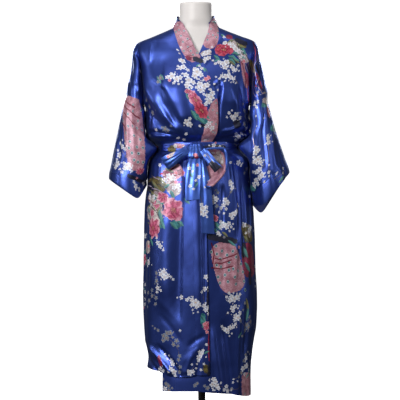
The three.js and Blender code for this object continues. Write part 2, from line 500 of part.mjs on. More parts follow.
// ---------------------------------------------------------------- dress form, pole and base
{
  const N = 30, rings = FORM.rows.map(([z, half, front, behind, square]) => Array.from({ length: N }, (_, i) => {
    const a = 2 * Math.PI * i / N, s = Math.sin(a), c = Math.cos(a), e = 2 / square;
    return [half * Math.sign(s) * Math.abs(s) ** e, -(c > 0 ? front : behind) * Math.sign(c) * Math.abs(c) ** e, z];
  }));
  put('dress_form', loft(rings), 'form');
}
{
  const pole = new THREE.CylinderGeometry(POLE_R, POLE_R, FORM_BASE_Z - GAP - BASE_H - GAP, 32);
  pole.rotateX(Math.PI / 2);
  pole.translate(0, 0, (FORM_BASE_Z + BASE_H) / 2);
  put('stand_pole', pole, 'metal');
  const r = POLE_R + GAP, profile = [[0, 0], [BASE_R - 2, 0], [BASE_R, 2], [BASE_R, BASE_H - 5], [BASE_R - 5, BASE_H], [21, BASE_H], [21, 48], [18, 51], [r, 51], [r, BASE_H], [0, BASE_H]];
  const base = new THREE.LatheGeometry(profile.map(([x, y]) => new THREE.Vector2(x, y)), 40);
  base.rotateX(Math.PI / 2);
  put('stand_base', base, 'metal');
}

export default group;
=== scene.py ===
import bpy, math
import numpy as np
from mathutils import Vector, Matrix


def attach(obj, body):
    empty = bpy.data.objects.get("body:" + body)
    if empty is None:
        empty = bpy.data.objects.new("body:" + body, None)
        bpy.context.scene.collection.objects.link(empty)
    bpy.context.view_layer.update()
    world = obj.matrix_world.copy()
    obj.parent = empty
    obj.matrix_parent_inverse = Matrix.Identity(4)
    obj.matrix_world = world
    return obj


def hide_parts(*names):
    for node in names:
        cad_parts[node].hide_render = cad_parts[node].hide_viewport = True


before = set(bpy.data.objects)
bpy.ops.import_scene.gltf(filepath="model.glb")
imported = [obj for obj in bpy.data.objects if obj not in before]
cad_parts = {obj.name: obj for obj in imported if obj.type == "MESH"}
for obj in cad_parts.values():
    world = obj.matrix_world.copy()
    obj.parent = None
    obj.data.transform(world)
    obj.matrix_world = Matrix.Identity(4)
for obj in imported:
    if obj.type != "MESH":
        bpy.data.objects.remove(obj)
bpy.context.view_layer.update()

MM = 0.001

# =====================================================================  camera
# Picture geometry: 400 x 400, 3.4 mm a pixel on the plane y = 0; the dress form leans slightly in it.
PX = 3.4
LEAN = 0.0163
CAM = np.array([4.8, -5500.0, 870.0])
AIM = np.array([4.8, 0.0, 831.0])


def plane_point(px, py):
    """Point of the plane y = 0 behind a pixel."""
    return (np.asarray(px) - 195.5 - (np.asarray(py) - 10) * LEAN) * PX, 1511.2 - PX * (np.asarray(py) + (np.asarray(px) - 195.5) * LEAN)


def to_pixel(p):
    """Pixel of a point in mm, array (..., 3)."""
    k = CAM[1] / (CAM[1] - p[..., 1])
    x0 = CAM[0] + (p[..., 0] - CAM[0]) * k
    z0 = CAM[2] + (p[..., 2] - CAM[2]) * k
    a, b = x0 / PX + 195.5 - 10 * LEAN, (1511.2 - z0) / PX + 195.5 * LEAN
    # a = px - py*LEAN ; b = py + px*LEAN
    py = (b - a * LEAN) / (1 + LEAN * LEAN)
    return a + py * LEAN, py


cam_data = bpy.data.cameras.new("camera")
cam = bpy.data.objects.new("camera", cam_data)
bpy.context.scene.collection.objects.link(cam)
bpy.context.scene.camera = cam
cam.location = CAM * MM
view = Vector(AIM - CAM).normalized()
roll = math.atan(LEAN)
quat = view.to_track_quat('-Z', 'Y')
cam.rotation_mode = 'QUATERNION'
cam.rotation_quaternion = quat @ Matrix.Rotation(-roll, 4, 'Z').to_quaternion()
cam_data.sensor_fit = 'HORIZONTAL'
cam_data.angle = 2 * math.atan(200 * PX / 5500)
cam_data.clip_end = 50

# =====================================================================  tables (mm)
def table(names, rows):
    return names.split(), np.array(rows, float)


BODY = table('z wl wr front back square', [
    [150, 186, 167, 122, 124, 2.3], [268, 184, 170, 123, 125, 2.3], [300, 180, 172, 124, 125, 2.3],
    [334, 184, 175, 124, 125, 2.3], [360, 189, 178, 124, 125, 2.3], [400, 189, 184, 125, 125, 2.3],
    [500, 189, 188, 127, 125, 2.3], [600, 185, 185, 128, 126, 2.3], [730, 182, 182, 129, 126, 2.3],
    [800, 179, 179, 129, 127, 2.3], [850, 175, 175, 128, 128, 2.3], [880, 171, 172, 126, 127, 2.3],
    [910, 168, 170, 121, 124, 2.25], [950, 163, 164, 111, 115, 2.2], [972, 151, 152, 100, 107, 2.2],
    [993, 131, 131, 89.5, 94.5, 2.1], [1010, 129, 129, 88, 93, 2.1], [1027, 131, 131, 89.5, 94, 2.1],
    [1050, 157, 160, 113, 103, 2.2], [1080, 167, 169, 121, 106, 2.3], [1110, 171, 172, 124, 108, 2.35],
    [1147, 176, 177, 126, 109, 2.4], [1162, 185, 185, 127, 109, 2.4], [1200, 189, 189, 126, 109, 2.4],
    [1225, 191, 191, 121, 108, 2.4], [1250, 194, 194, 112, 107, 2.4], [1300, 200, 200, 92, 104, 2.4],
    [1335, 206, 206, 81, 98, 2.35], [1363, 202, 202, 71, 90, 2.3], [1386, 150, 150, 63, 80, 2.2],
    [1402, 110, 110, 57, 72, 2.15], [1415, 80, 80, 52, 66, 2.1]])
CAP = table('z turn creaseF creaseB bulge outer open', [
    [1162, 77, 36, 38, 78, 243, 1], [1195, 73.5, 33, 38, 77, 240, 1], [1225, 72, 31, 38, 74, 234, 1],
    [1260, 71, 32, 40, 68, 227, 1], [1300, 69, 36, 46, 60, 219, 0.85], [1335, 70, 40, 50, 52, 214.5, 0.4],
    [1363, 69, 40, 50, 50, 202, 0], [1386, 70, 30, 40, 40, 150, 0], [1402, 74, 20, 30, 30, 110, 0],
    [1415, 80, 15, 20, 20, 80, 0]])
EDGE_TOP = table('z seam free freeZ', [
    [150, -18, 27, 150], [400, -18, 27, 400], [700, -20, 25, 700], [940, -20, 25, 940], [985, -16, 29, 985],
    [1010, -10, 34, 1010], [1031, 5, 50, 1031], [1058, 20, 64, 1058], [1098, 24, 68, 1098], [1147, 24, 68, 1148],
    [1204, 11, 55, 1210], [1233, 0, 43, 1242], [1265, -14, 29, 1276], [1293, -27, 17, 1305], [1325, -46, -2, 1337],
    [1345, -55, -11, 1357], [1370, -64, -22, 1384], [1400, -71.5, -34, 1410], [1415, -74, -43, 1425]])
EDGE_UNDER = table('z seam free freeZ', [
    [150, -88, -132, 150], [400, -85, -129, 400], [700, -75, -119, 700], [950, -60, -104, 950], [1010, -52, -96, 1010],
    [1060, -50, -94, 1060], [1100, -44, -90, 1102], [1145, -33, -77, 1148], [1183, -15, -57, 1189], [1242, 10, -31, 1252],
    [1286, 37, -6, 1299], [1310, 51, 9, 1322], [1327, 59, 17, 1339], [1358, 72, 30, 1371], [1380, 77, 38, 1391],
    [1400, 77, 44, 1411], [1415, 75, 50, 1428]])
HEM_TOP = table('x z', [[-186, 268], [-145, 261], [-105, 247], [-71, 243], [-38, 245], [-5, 254], [22, 271], [60, 276]])
HEM_UNDER = table('x z', [[-134, 179], [-80, 195], [-20, 195], [14, 191], [98, 182], [150, 170], [168, 168]])
HEM_BACK = table('x z', [[-186, 268], [-137, 256], [-60, 226], [40, 196], [168, 168]])
NECK = table('turn across back z', [
    [0, 0, 63, 1460], [0.25, 32, 57, 1460], [0.5, 55, 34, 1459], [0.72, 64, 4, 1456], [0.88, 58, -26, 1444], [1, 43, -47, 1427]])
SLEEVE = 'outX outZ inX inZ front back sagF sagB'
SLEEVE_L = [[248, 1165, 180, 1122, 80, 78, 4, 4], [258, 1126, 182.5, 1085, 84, 82, 8, 6], [270, 1074, 146, 1034, 89, 86, 12, 8],
            [282, 1020, 140, 986, 93, 90, 16, 10], [293, 968, 156, 938, 95, 92, 18, 10], [300, 938, 176, 900, 96, 93, 10, 6]]
CUFF_L = [[302, 923, 176, 891, 96, 93, 28, 12], [303, 908, 175, 884, 96, 92, 48, 14]]
SLEEVE_R = [[240, 1165, 179.5, 1120, 80, 78, 4, 4], [250, 1126, 180.5, 1080, 84, 82, 6, 8], [263, 1074, 142, 1024, 89, 87, 8, 16],
            [277, 1024, 142, 966, 93, 91, 8, 26], [290, 986, 162, 908, 95, 94, 8, 36], [299, 960, 180, 856, 96, 95, 8, 44]]
CUFF_R = [[306, 940, 182, 832, 96, 95, 12, 48], [311, 921, 184, 810, 95, 94, 26, 56]]
BELT_Z, BELT_H = 1010.0, 28.0
LAP = 8.0
FORM = table('z half front back square', [
    [700, 150, 84, 96, 2.2], [706, 156, 94, 102, 2.2], [722, 162, 104, 108, 2.2], [780, 167, 112, 116, 2.2], [840, 163, 112, 117, 2.2],
    [900, 148, 105, 106, 2.2], [960, 128, 92, 88, 2.15], [1010, 113, 78, 80, 2.1], [1060, 123, 92, 84, 2.15], [1120, 139, 106, 90, 2.2],
    [1170, 152, 113, 94, 2.2], [1200, 159, 113, 96, 2.2], [1250, 171, 99, 97, 2.2], [1300, 183, 82, 94, 2.2], [1335, 189, 70, 88, 2.2],
    [1354, 188, 62, 80, 2.2], [1371, 173, 57, 75, 2.15], [1383, 146, 54, 70, 2.15], [1397, 110, 51, 66, 2.1], [1407, 88, 50, 62, 2.1],
    [1416, 71, 49, 60, 2.1], [1427, 62, 50, 58, 2.05], [1442, 58, 52, 59, 2], [1465, 56, 52, 59, 2], [1493, 56, 52, 59, 2], [1500, 51, 47, 54, 2]])


def slopes(x, y):
    h = np.diff(x)
    d = np.diff(y, axis=0) / (h if y.ndim == 1 else h[:, None])
    m = np.empty_like(y)
    m[0], m[-1] = d[0], d[-1]
    p, q = d[:-1], d[1:]
    with np.errstate(divide='ignore', invalid='ignore'):
        m[1:-1] = np.where(p * q <= 0, 0.0, 2 * p * q / (p + q))
    return h, m


def read(t, name, at):
    """A smooth curve through a column of a table, with no overshoot between rows."""
    x, y = t[1][:, 0], t[1][:, t[0].index(name)]
    h, m = slopes(x, y)
    at = np.clip(np.asarray(at, float), x[0], x[-1])
    i = np.clip(np.searchsorted(x, at, side='right') - 1, 0, len(x) - 2)
    s = (at - x[i]) / h[i]
    return (1 + 2 * s) * (1 - s) ** 2 * y[i] + s * (1 - s) ** 2 * h[i] * m[i] + s * s * (3 - 2 * s) * y[i + 1] + s * s * (s - 1) * h[i] * m[i + 1]


def mix(a, b, t):
    return a + (b - a) * t


def smooth(a, b, v):
    if a > b:
        return 1 - smooth(b, a, v)
    t = np.clip((np.asarray(v, float) - a) / (b - a), 0, 1)
    return t * t * (3 - 2 * t)


def oval(z, b):
    s, c = np.sin(np.radians(b)), np.cos(np.radians(b))
    e = 2 / read(BODY, 'square', z)
    w = np.where(s < 0, read(BODY, 'wl', z), read(BODY, 'wr', z))
    d = np.where(c > 0, read(BODY, 'front', z), read(BODY, 'back', z))
    return np.sign(s) * w * np.abs(s) ** e, -np.sign(c) * d * np.abs(c) ** e


# arc length from the front middle, for every height and bearing
_AZ = np.arange(120, 1421, 5.0)
_AB = np.arange(-180, 181, 1.0)
_gx, _gy = oval(_AZ[:, None] + 0 * _AB[None], _AB[None] + 0 * _AZ[:, None])
_seg = np.hypot(np.diff(_gx, axis=1), np.diff(_gy, axis=1))
_ARC = np.concatenate([np.zeros((len(_AZ), 1)), np.cumsum(_seg, axis=1)], axis=1)
_ARC -= _ARC[:, 180:181]


def arc(z, b):
    z, b = np.broadcast_arrays(np.asarray(z, float), np.asarray(b, float))
    fz = np.clip((z - _AZ[0]) / 5, 0, len(_AZ) - 1.001)
    fb = np.clip(b + 180, 0, 359.999)
    i, j = fz.astype(int), fb.astype(int)
    u, v = fz - i, fb - j
    return (_ARC[i, j] * (1 - u) * (1 - v) + _ARC[i + 1, j] * u * (1 - v) + _ARC[i, j + 1] * (1 - u) * v + _ARC[i + 1, j + 1] * u * v)


def bearing_of(z, x):
    w = np.where(np.asarray(x) < 0, read(BODY, 'wl', z), read(BODY, 'wr', z))
    n = read(BODY, 'square', z)
    return np.sign(x) * np.degrees(np.arcsin(np.minimum(1, (np.abs(x) / w) ** (n / 2))))


def lap_at(z, b):
    return mix(LAP, 3, smooth(1330, 1410, z)) * smooth(-76, -52, b)


# =====================================================================  folds
def on_front(px, py, y=None):
    """Cloth coordinates (arc, z) of the body's front behind a pixel."""
    x0, z0 = plane_point(px, py)
    y = -100.0
    for _ in range(4):
        k = 1 + y / 5500.0
        x, z = CAM[0] + (x0 - CAM[0]) * k, CAM[2] + (z0 - CAM[2]) * k
        b = bearing_of(z, x)
        y = float(oval(z, b)[1]) - 6
    return float(arc(z, b)), float(z)


def line_field(s, z, pts, amp, w, w2=None, sharp=2.0, ends=(0.25, 0.25)):
    """A ridge (amp > 0) or trough along a line of (s, z) points; w and w2 are its half widths on either side."""
    pts = np.asarray(pts, float)
    w2 = w if w2 is None else w2
    # refine the line through its points
    t = np.concatenate([[0], np.cumsum(np.hypot(*np.diff(pts, axis=0).T))])
    h, m = slopes(t, pts)
    q = np.linspace(0, t[-1], max(6, int(t[-1] / 10)))
    i = np.clip(np.searchsorted(t, q, side='right') - 1, 0, len(t) - 2)
    u = ((q - t[i]) / h[i])[:, None]
    hh = h[i][:, None]
    line = (1 + 2 * u) * (1 - u) ** 2 * pts[i] + u * (1 - u) ** 2 * hh * m[i] + u * u * (3 - 2 * u) * pts[i + 1] + u * u * (u - 1) * hh * m[i + 1]
    reach = 3.2 * max(w, w2)
    lo, hi = line.min(0) - reach, line.max(0) + reach
    out = np.zeros(s.shape)
    sel = (s > lo[0]) & (s < hi[0]) & (z > lo[1]) & (z < hi[1])
    if not sel.any():
        return out
    ss, zz = s[sel], z[sel]
    best = np.full(ss.shape, 1e9)
    side = np.zeros(ss.shape)
    pos = np.zeros(ss.shape)
    for k in range(len(line) - 1):
        a, d = line[k], line[k + 1] - line[k]
        L = np.hypot(*d)
        if L < 1e-6:
            continue
        f = np.clip(((ss - a[0]) * d[0] + (zz - a[1]) * d[1]) / L ** 2, 0, 1)
        dx, dz = ss - a[0] - f * d[0], zz - a[1] - f * d[1]
        r = np.hypot(dx, dz)
        better = r < best
        best = np.where(better, r, best)
        side = np.where(better, dx * d[1] - dz * d[0], side)
        pos = np.where(better, (k + f) / (len(line) - 1), pos)
    ww = np.where(side > 0, w, w2)
    e0, e1 = ends
    fade = (smooth(0, max(e0, 1e-3), pos + 1e-3) if e0 else 1) * (smooth(0, max(e1, 1e-3), 1 - pos + 1e-3) if e1 else 1)
    out[sel] = amp * np.exp(-(best / ww) ** sharp) * fade
    return out


def fold_field(s, z, folds):
    """folds: rows of (points in pixels or ('s', points), height, width, other width, sharpness, ends)."""
    total = np.zeros(s.shape)
    for row in folds:
        pts, amp, w = row[0], row[1], row[2]
        w2 = row[3] if len(row) > 3 else None
        sharp = row[4] if len(row) > 4 else 2.0
        ends = row[5] if len(row) > 5 else (0.25, 0.25)
        if pts[0] == 's':
            line = pts[1]
        else:
            line = [on_front(*p) for p in pts]
        total += line_field(s, z, line, amp, w, w2, sharp, ends)
    return total


# smooth seeded noise on a lattice
def noise(x, y, seed, period=64):
    rng = np.random.RandomState(seed)
    g = rng.rand(period, period) * 2 - 1
    x, y = np.asarray(x, float), np.asarray(y, float)
    i, j = np.floor(x).astype(int), np.floor(y).astype(int)
    u, v = x - i, y - j
    u, v = u * u * u * (u * (u * 6 - 15) + 10), v * v * v * (v * (v * 6 - 15) + 10)
    a, b = g[i % period, j % period], g[(i + 1) % period, j % period]
    c, d = g[i % period, (j + 1) % period], g[(i + 1) % period, (j + 1) % period]
    return a * (1 - u) * (1 - v) + b * u * (1 - v) + c * (1 - u) * v + d * u * v


def noise3(x, y, z, seed, n=32):
    rng = np.random.RandomState(seed)
    g = rng.rand(n, n, n) * 2 - 1
    q = [np.asarray(v, float) for v in np.broadcast_arrays(x, y, z)]
    i = [np.floor(v).astype(int) for v in q]
    f = [v - k for v, k in zip(q, i)]
    f = [v * v * v * (v * (v * 6 - 15) + 10) for v in f]
    out = 0.0
    for a in (0, 1):
        for b in (0, 1):
            for c in (0, 1):
                w = (f[0] if a else 1 - f[0]) * (f[1] if b else 1 - f[1]) * (f[2] if c else 1 - f[2])
                out = out + w * g[(i[0] + a) % n, (i[1] + b) % n, (i[2] + c) % n]
    return out


def wrinkles(x, y, z):
    """Shallow uneven undulation, longer along the hang than across it."""
    wx, wy = x + 12 * noise3(x / 90, y / 90, z / 120, 5), y + 12 * noise3(x / 90, y / 90, z / 120, 6)
    return (1.3 * noise3(wx / 36, wy / 36, z / 150, 11) + 0.6 * noise3((wx + z * 0.2) / 22, wy / 22, z / 80, 12)
            + 0.22 * noise3((wx - z * 0.3) / 12, wy / 12, z / 38, 13))


def gathers(b, z):
    """Small pleats that run into the belt from above and below, dying out away from it."""
    d = z - BELT_Z
    q = (np.asarray(b, float) + 180) / 360
    reach_up = 46 + 34 * noise(q * 16, z * 0, 7, 16)
    reach_dn = 44 + 40 * noise(q * 16, z * 0 + 3, 8, 16)
    fade = np.where(d > 0, np.exp(-(np.maximum(0, d - 14) / np.maximum(16, reach_up)) ** 1.5),
                    np.exp(-(np.maximum(0, -d - 14) / np.maximum(18, reach_dn)) ** 1.4))
    fade = fade * smooth(11, 30, np.abs(d))
    w = noise(q * 40, d / 300 + 20, 31, 40) * 3.0 + noise(q * 90, d / 160 + 20, 32, 90) * 0.7
    return w * fade


def form_gap(z, b):
    bx, by = oval(z, b)
    s, c = np.sin(np.radians(b)), np.cos(np.radians(b))
    e = 2 / read(FORM, 'square', z)
    w, d = read(FORM, 'half', z), np.where(c > 0, read(FORM, 'front', z), read(FORM, 'back', z))
    fx, fy = np.sign(s) * w * np.abs(s) ** e, -np.sign(c) * d * np.abs(c) ** e
    gap = np.hypot(bx, by) - np.hypot(fx, fy)
    return np.where(z < 700, 40.0, gap)


# (points in pixels or ('s', points), height, half width, other half width, sharpness, ends)
FRONT_FOLDS = [
    ([(144, 70), (145, 78), (147.5, 88), (152, 97), (157.5, 105), (163.5, 112.5), (169.5, 119.5), (175.5, 127), (183, 136)], 7.0, 12, 15, 2.0, (0.25, 0.12)),
    ([(144.5, 90), (147, 100), (151, 110), (157, 119), (165, 128), (172, 133)], -4.0, 10, 10, 2.0, (0.3, 0.3)),
    ([(157, 92), (161, 98), (165, 105), (169, 113), (173.5, 121), (178.5, 129)], -4.8, 6, 6, 2.0, (0.3, 0.25)),
    ([(160, 88), (163, 85), (167, 87.5), (170, 94), (173.5, 102), (177.5, 110), (182, 118), (187, 128)], 8.5, 10, 46, 2.0, (0.12, 0.25)),
    ([(156, 137), (168, 136.5), (180, 138), (191, 142)], 3.6, 4.5, 4.5, 1.8, (0.3, 0.1)),
    ([(163, 129), (174, 132.5), (184, 137.5), (192, 142)], 3.6, 4, 4.5, 1.8, (0.3, 0.1)),
    ([(150, 131), (163, 133), (176, 135.5), (186, 139.5)], -6.8, 5, 5, 2.0, (0.3, 0.2)),
    ([(149, 142), (163, 141), (178, 141), (188, 143)], -4.7, 4, 4, 2.0, (0.3, 0.1)),
    ([(148.5, 108), (147.5, 119), (147.5, 130), (149.5, 140)], 4.4, 5, 6, 1.8, (0.3, 0.2)),
    ([(153, 112), (152.5, 122), (153.5, 132)], -3.4, 5, 6, 2.0, (0.3, 0.3)),
    ([(189, 97), (195, 108), (200, 118), (205, 127)], 3.2, 7, 7, 1.8, (0.3, 0.2)),
    ([(191, 124), (195, 131), (199, 138)], -6.1, 5, 4, 2.0, (0.3, 0.1)),
    ([(152, 42), (151, 55), (150, 66)], 2.2, 5, 6, 2.0, (0.4, 0.3)),
    # skirt
    ([(183, 165), (182.5, 185), (182, 205), (181.5, 230), (181, 260), (180.5, 290), (180.5, 330)], -9.0, 30, 4, 2.0, (0.10, 0.25)),
    ([(167, 196), (165.5, 212), (164.5, 230), (164, 260), (164.5, 290), (167, 322)], 12.0, 50, 44, 2.0, (0.25, 0.35)),
    ([(196, 158), (197, 180), (198, 205), (199, 230), (199.5, 260), (200, 300), (200, 335)], 9.0, 46, 9, 2.2, (0.05, 0.3)),
    ([(184, 156), (184, 172), (184, 190), (184.5, 206)], 4.5, 3.5, 3.5, 1.8, (0.1, 0.25)),
    ([(203.5, 226), (203.5, 250), (204, 290), (204, 325)], -4.0, 4, 6, 2.0, (0.15, 0.3)),
    ([(164, 158), (162, 176), (161, 196)], 5.0, 14, 12, 2.0, (0.1, 0.3)),
    ([(152, 165), (150.5, 195), (150, 245), (151, 300)], -5.0, 7, 8, 2.0, (0.15, 0.3)),
    ([(153, 290), (161, 301), (170, 311), (179, 322), (187, 336)], 1.0, 10, 12, 1.9, (0.3, 0.3)),
    ([(158, 311), (168, 323), (178, 337), (184, 350)], -1.4, 9, 9, 2.0, (0.3, 0.3)),
    ([(187, 349), (195, 341), (206, 335)], -2.0, 8, 8, 2.0, (0.3, 0.15)),
    ([(183, 365), (191, 354), (203, 347)], 1.6, 8, 8, 2.0, (0.3, 0.25)),
    ([(149, 344), (155.5, 352), (163, 361), (171, 372)], 9.0, 8, 9, 1.8, (0.2, 0.0)),
    ([(146.5, 356), (153, 364), (160, 372)], -5.0, 5, 5, 2.0, (0.2, 0.0)),
    ([(157, 343), (167, 355), (176, 367), (181, 376)], -5.5, 6, 6, 2.0, (0.3, 0.0)),
    ([(186, 372), (190, 360), (196, 352)], 3.0, 6, 6, 2.0, (0.0, 0.3)),
    ([(197, 376), (199, 360), (201, 345)], -4.0, 6, 6, 2.0, (0.0, 0.3)),
]
UNDER_FOLDS = [
    ([(220.5, 78), (221, 86), (219.5, 96), (218.5, 108), (218, 122), (217, 138)], -9.0, 5, 5, 1.9, (0.15, 0.1)),
    ([(227, 76), (230.5, 88), (233, 98), (235.5, 108), (237.5, 118), (238, 132)], 14.5, 25, 24, 1.7, (0.52, 0.48)),
    ([(238.5, 80), (241.5, 95), (244, 110), (246, 125), (247, 140)], -3.0, 6, 7, 2.0, (0.25, 0.2)),
    ([(219, 137.5), (229, 137), (240, 134), (249, 129)], -10.8, 6, 7, 2.0, (0.1, 0.3)),
    ([(221, 131), (228, 130.5), (235, 127.5), (241, 122)], 6.1, 4, 4, 1.9, (0.15, 0.25)),
    ([(212, 86), (216, 83), (220, 80.5)], 5.4, 5, 5, 2.0, (0.3, 0.3)),
    ([(210, 96), (213, 108), (215, 122), (214, 135)], 4.7, 5, 5, 2.0, (0.3, 0.2)),
    ([(247, 60), (247.5, 80), (248, 100), (249, 118)], 4.7, 5, 5, 2.0, (0.3, 0.3)),
    ([(243, 138), (246, 128), (249, 118)], 5.4, 4, 5, 2.0, (0.1, 0.3)),
    # skirt
    ([(227, 152), (235, 155), (242, 161), (247, 171)], 6.5, 5, 5, 1.9, (0.25, 0.3)),
    ([(222, 182), (222, 205), (223, 235)], -7.0, 6, 6, 2.0, (0.3, 0.3)),
    ([(230, 160), (233, 185), (235.5, 210), (236.5, 240)], 6.0, 6, 6, 2.0, (0.1, 0.3)),
    ([(242, 180), (243.5, 205), (244.5, 235), (245.5, 270)], -8.0, 7, 6, 2.0, (0.2, 0.3)),
    ([(250, 175), (250, 205), (250.5, 240)], 4.0, 6, 6, 2.0, (0.3, 0.3)),
    ([(236, 236), (235.5, 260), (234.5, 290)], 5.5, 8, 8, 2.0, (0.25, 0.3)),
    ([(225, 240), (223.5, 265), (222, 295)], -5.0, 6, 6, 2.0, (0.3, 0.3)),
    ([(212.5, 322), (214.5, 345), (217.5, 367), (221, 392)], 6.5, 6, 8, 2.0, (0.25, 0.0)),
    ([(221.5, 318), (225, 345), (228.5, 370), (231, 394)], -7.0, 6, 9, 2.0, (0.25, 0.0)),
    ([(247.5, 298), (246.5, 330), (244, 360)], -5.0, 8, 7, 2.0, (0.25, 0.3)),
    ([(240, 300), (238.5, 330), (237, 362), (237, 395)], 5.0, 8, 8, 2.0, (0.25, 0.0)),
    ([(246, 352), (247.5, 374), (248.5, 396)], 4.0, 6, 6, 2.0, (0.25, 0.0)),
]


def by_bearing(*pts):
    return ('s', [(float(arc(z, b)), float(z)) for b, z in pts])


BACK_FOLDS = [
    (by_bearing((150, 1330), (146, 1250), (140, 1160), (134, 1070)), -7.0, 10, 9), (by_bearing((-150, 1330), (-147, 1250), (-139, 1160), (-132, 1065)), -6.5, 9, 11),
    (by_bearing((163, 1300), (164, 1200), (166, 1110), (169, 1060)), 6.0, 10, 12), (by_bearing((-160, 1280), (-162, 1190), (-165, 1110), (-170, 1055)), 6.5, 11, 9),
    (by_bearing((128, 1280), (124, 1180), (117, 1090)), 6.0, 9, 9), (by_bearing((-124, 1290), (-121, 1200), (-116, 1100)), 5.5, 9, 10),
    (by_bearing((160, 975), (158, 860), (157, 700), (157, 520), (158, 330)), 8.5, 14, 12), (by_bearing((-158, 975), (-156, 880), (-154, 700), (-153, 500), (-153, 260)), 8.0, 13, 15),
    (by_bearing((144, 970), (142, 850), (141, 690), (141, 480), (141, 220)), -8.0, 11, 12), (by_bearing((-141, 965), (-139, 840), (-137, 650), (-137, 450), (-137, 250)), -8.0, 12, 11),
    (by_bearing((128, 965), (126, 820), (125, 640), (125, 420)), 6.5, 11, 12), (by_bearing((-124, 960), (-122, 800), (-121, 600), (-121, 380)), 7.0, 12, 10),
    (by_bearing((171, 960), (170, 880), (169, 760)), -6.0, 7, 7), (by_bearing((-170, 965), (-168, 870), (-167, 780)), -5.0, 6, 7),
]
SIDE_FOLDS = [
    (by_bearing((-82, 960), (-84, 860), (-86, 700), (-86, 500), (-85, 320)), 5.5, 11, 12), (by_bearing((84, 965), (86, 850), (88, 680), (88, 470), (87, 230)), 6.0, 12, 12),
    (by_bearing((-100, 950), (-102, 820), (-104, 640), (-104, 450)), -5.5, 9, 9), (by_bearing((102, 955), (104, 800), (105, 620), (105, 420)), -5.5, 9, 9),
    (by_bearing((-98, 1130), (-96, 1085), (-93, 1040)), -4.5, 6, 6), (by_bearing((97, 1130), (95, 1085), (92, 1040)), -4.5, 6, 6),
    (by_bearing((-112, 1120), (-108, 1080), (-105, 1040)), 4.5, 6, 6), (by_bearing((110, 1125), (107, 1080), (104, 1040)), 4.0, 6, 6),
]




def side_puff(z):
    """How far the cloth blouses out at the sides, over the sash and under it."""
    return np.interp(z, [880, 915, 950, 975, 990, 999, 1010, 1021, 1030, 1042, 1058, 1085, 1115, 1147], [0, 4, 8, 13, 14, 8, 0, 9, 20, 22, 14, 7, 4, 0])


def body_disp(kind, z, b):
    z, b = np.broadcast_arrays(np.asarray(z, float), np.asarray(b, float))
    x, y = oval(z, b)
    s = arc(z, b)
    d = fold_field(s, z, SIDE_FOLDS) + wrinkles(x, y, z) + gathers(b, z)
    if kind == 'top':
        d = d + fold_field(s, z, FRONT_FOLDS)
        over = smooth(-140, -110, x) * smooth(60, 40, x - read(EDGE_TOP, 'free', z)) * (1 - smooth(1300, 1360, z))
        d = np.where(over > 0.5, np.maximum(d, -5.0), d)
    elif kind == 'under':
        d = d + fold_field(s, z, UNDER_FOLDS)
        vis = smooth(-22, 6, x - read(EDGE_TOP, 'free', z))
        low = 1 - smooth(225, 262, z)
        vis = np.maximum(vis, low)
        d = mix(np.clip(d, -3, 1.2) * 0.5 - 1.2, d, vis)
    else:
        d = d + fold_field(s, z, BACK_FOLDS)
        mid = arc(z, 180 + 0 * z) - np.abs(s)
        d = d + 5.0 * np.exp(-(mid / 13.0) ** 2) * smooth(1290, 1200, z) * smooth(1040, 1100, z) - 5.5 * np.exp(-(mid / 12.0) ** 2) * smooth(975, 930, z) * smooth(300, 520, z)
    near = np.exp(-((z - BELT_Z) / 24.0) ** 2)
    d = d * (1 - 0.85 * near)
    d = d * (1 - smooth(1380, 1412, z) * 0.8)
    side = np.abs(np.sin(np.radians(b))) ** 4
    d = d + side_puff(z) * side * (1 + 0.18 * np.sin(z / 17.0 + b * 0.09))
    return np.maximum(d, -(form_gap(z, b) - 2.6))


def robe(z, b, out=0.0, kind=None, disp=None):
    """Points of the robe, arrays of heights and bearings."""
    z, b = np.broadcast_arrays(np.asarray(z, float), np.asarray(b, float))
    x, y = oval(z, b)
    x1, y1 = oval(z, b - 0.5)
    x2, y2 = oval(z, b + 0.5)
    tx, ty = x2 - x1, y2 - y1
    L = np.maximum(1e-6, np.hypot(tx, ty))
    d = out + (disp if disp is not None else 0)
    return np.stack([x + ty / L * d, y - tx / L * d, z], -1)


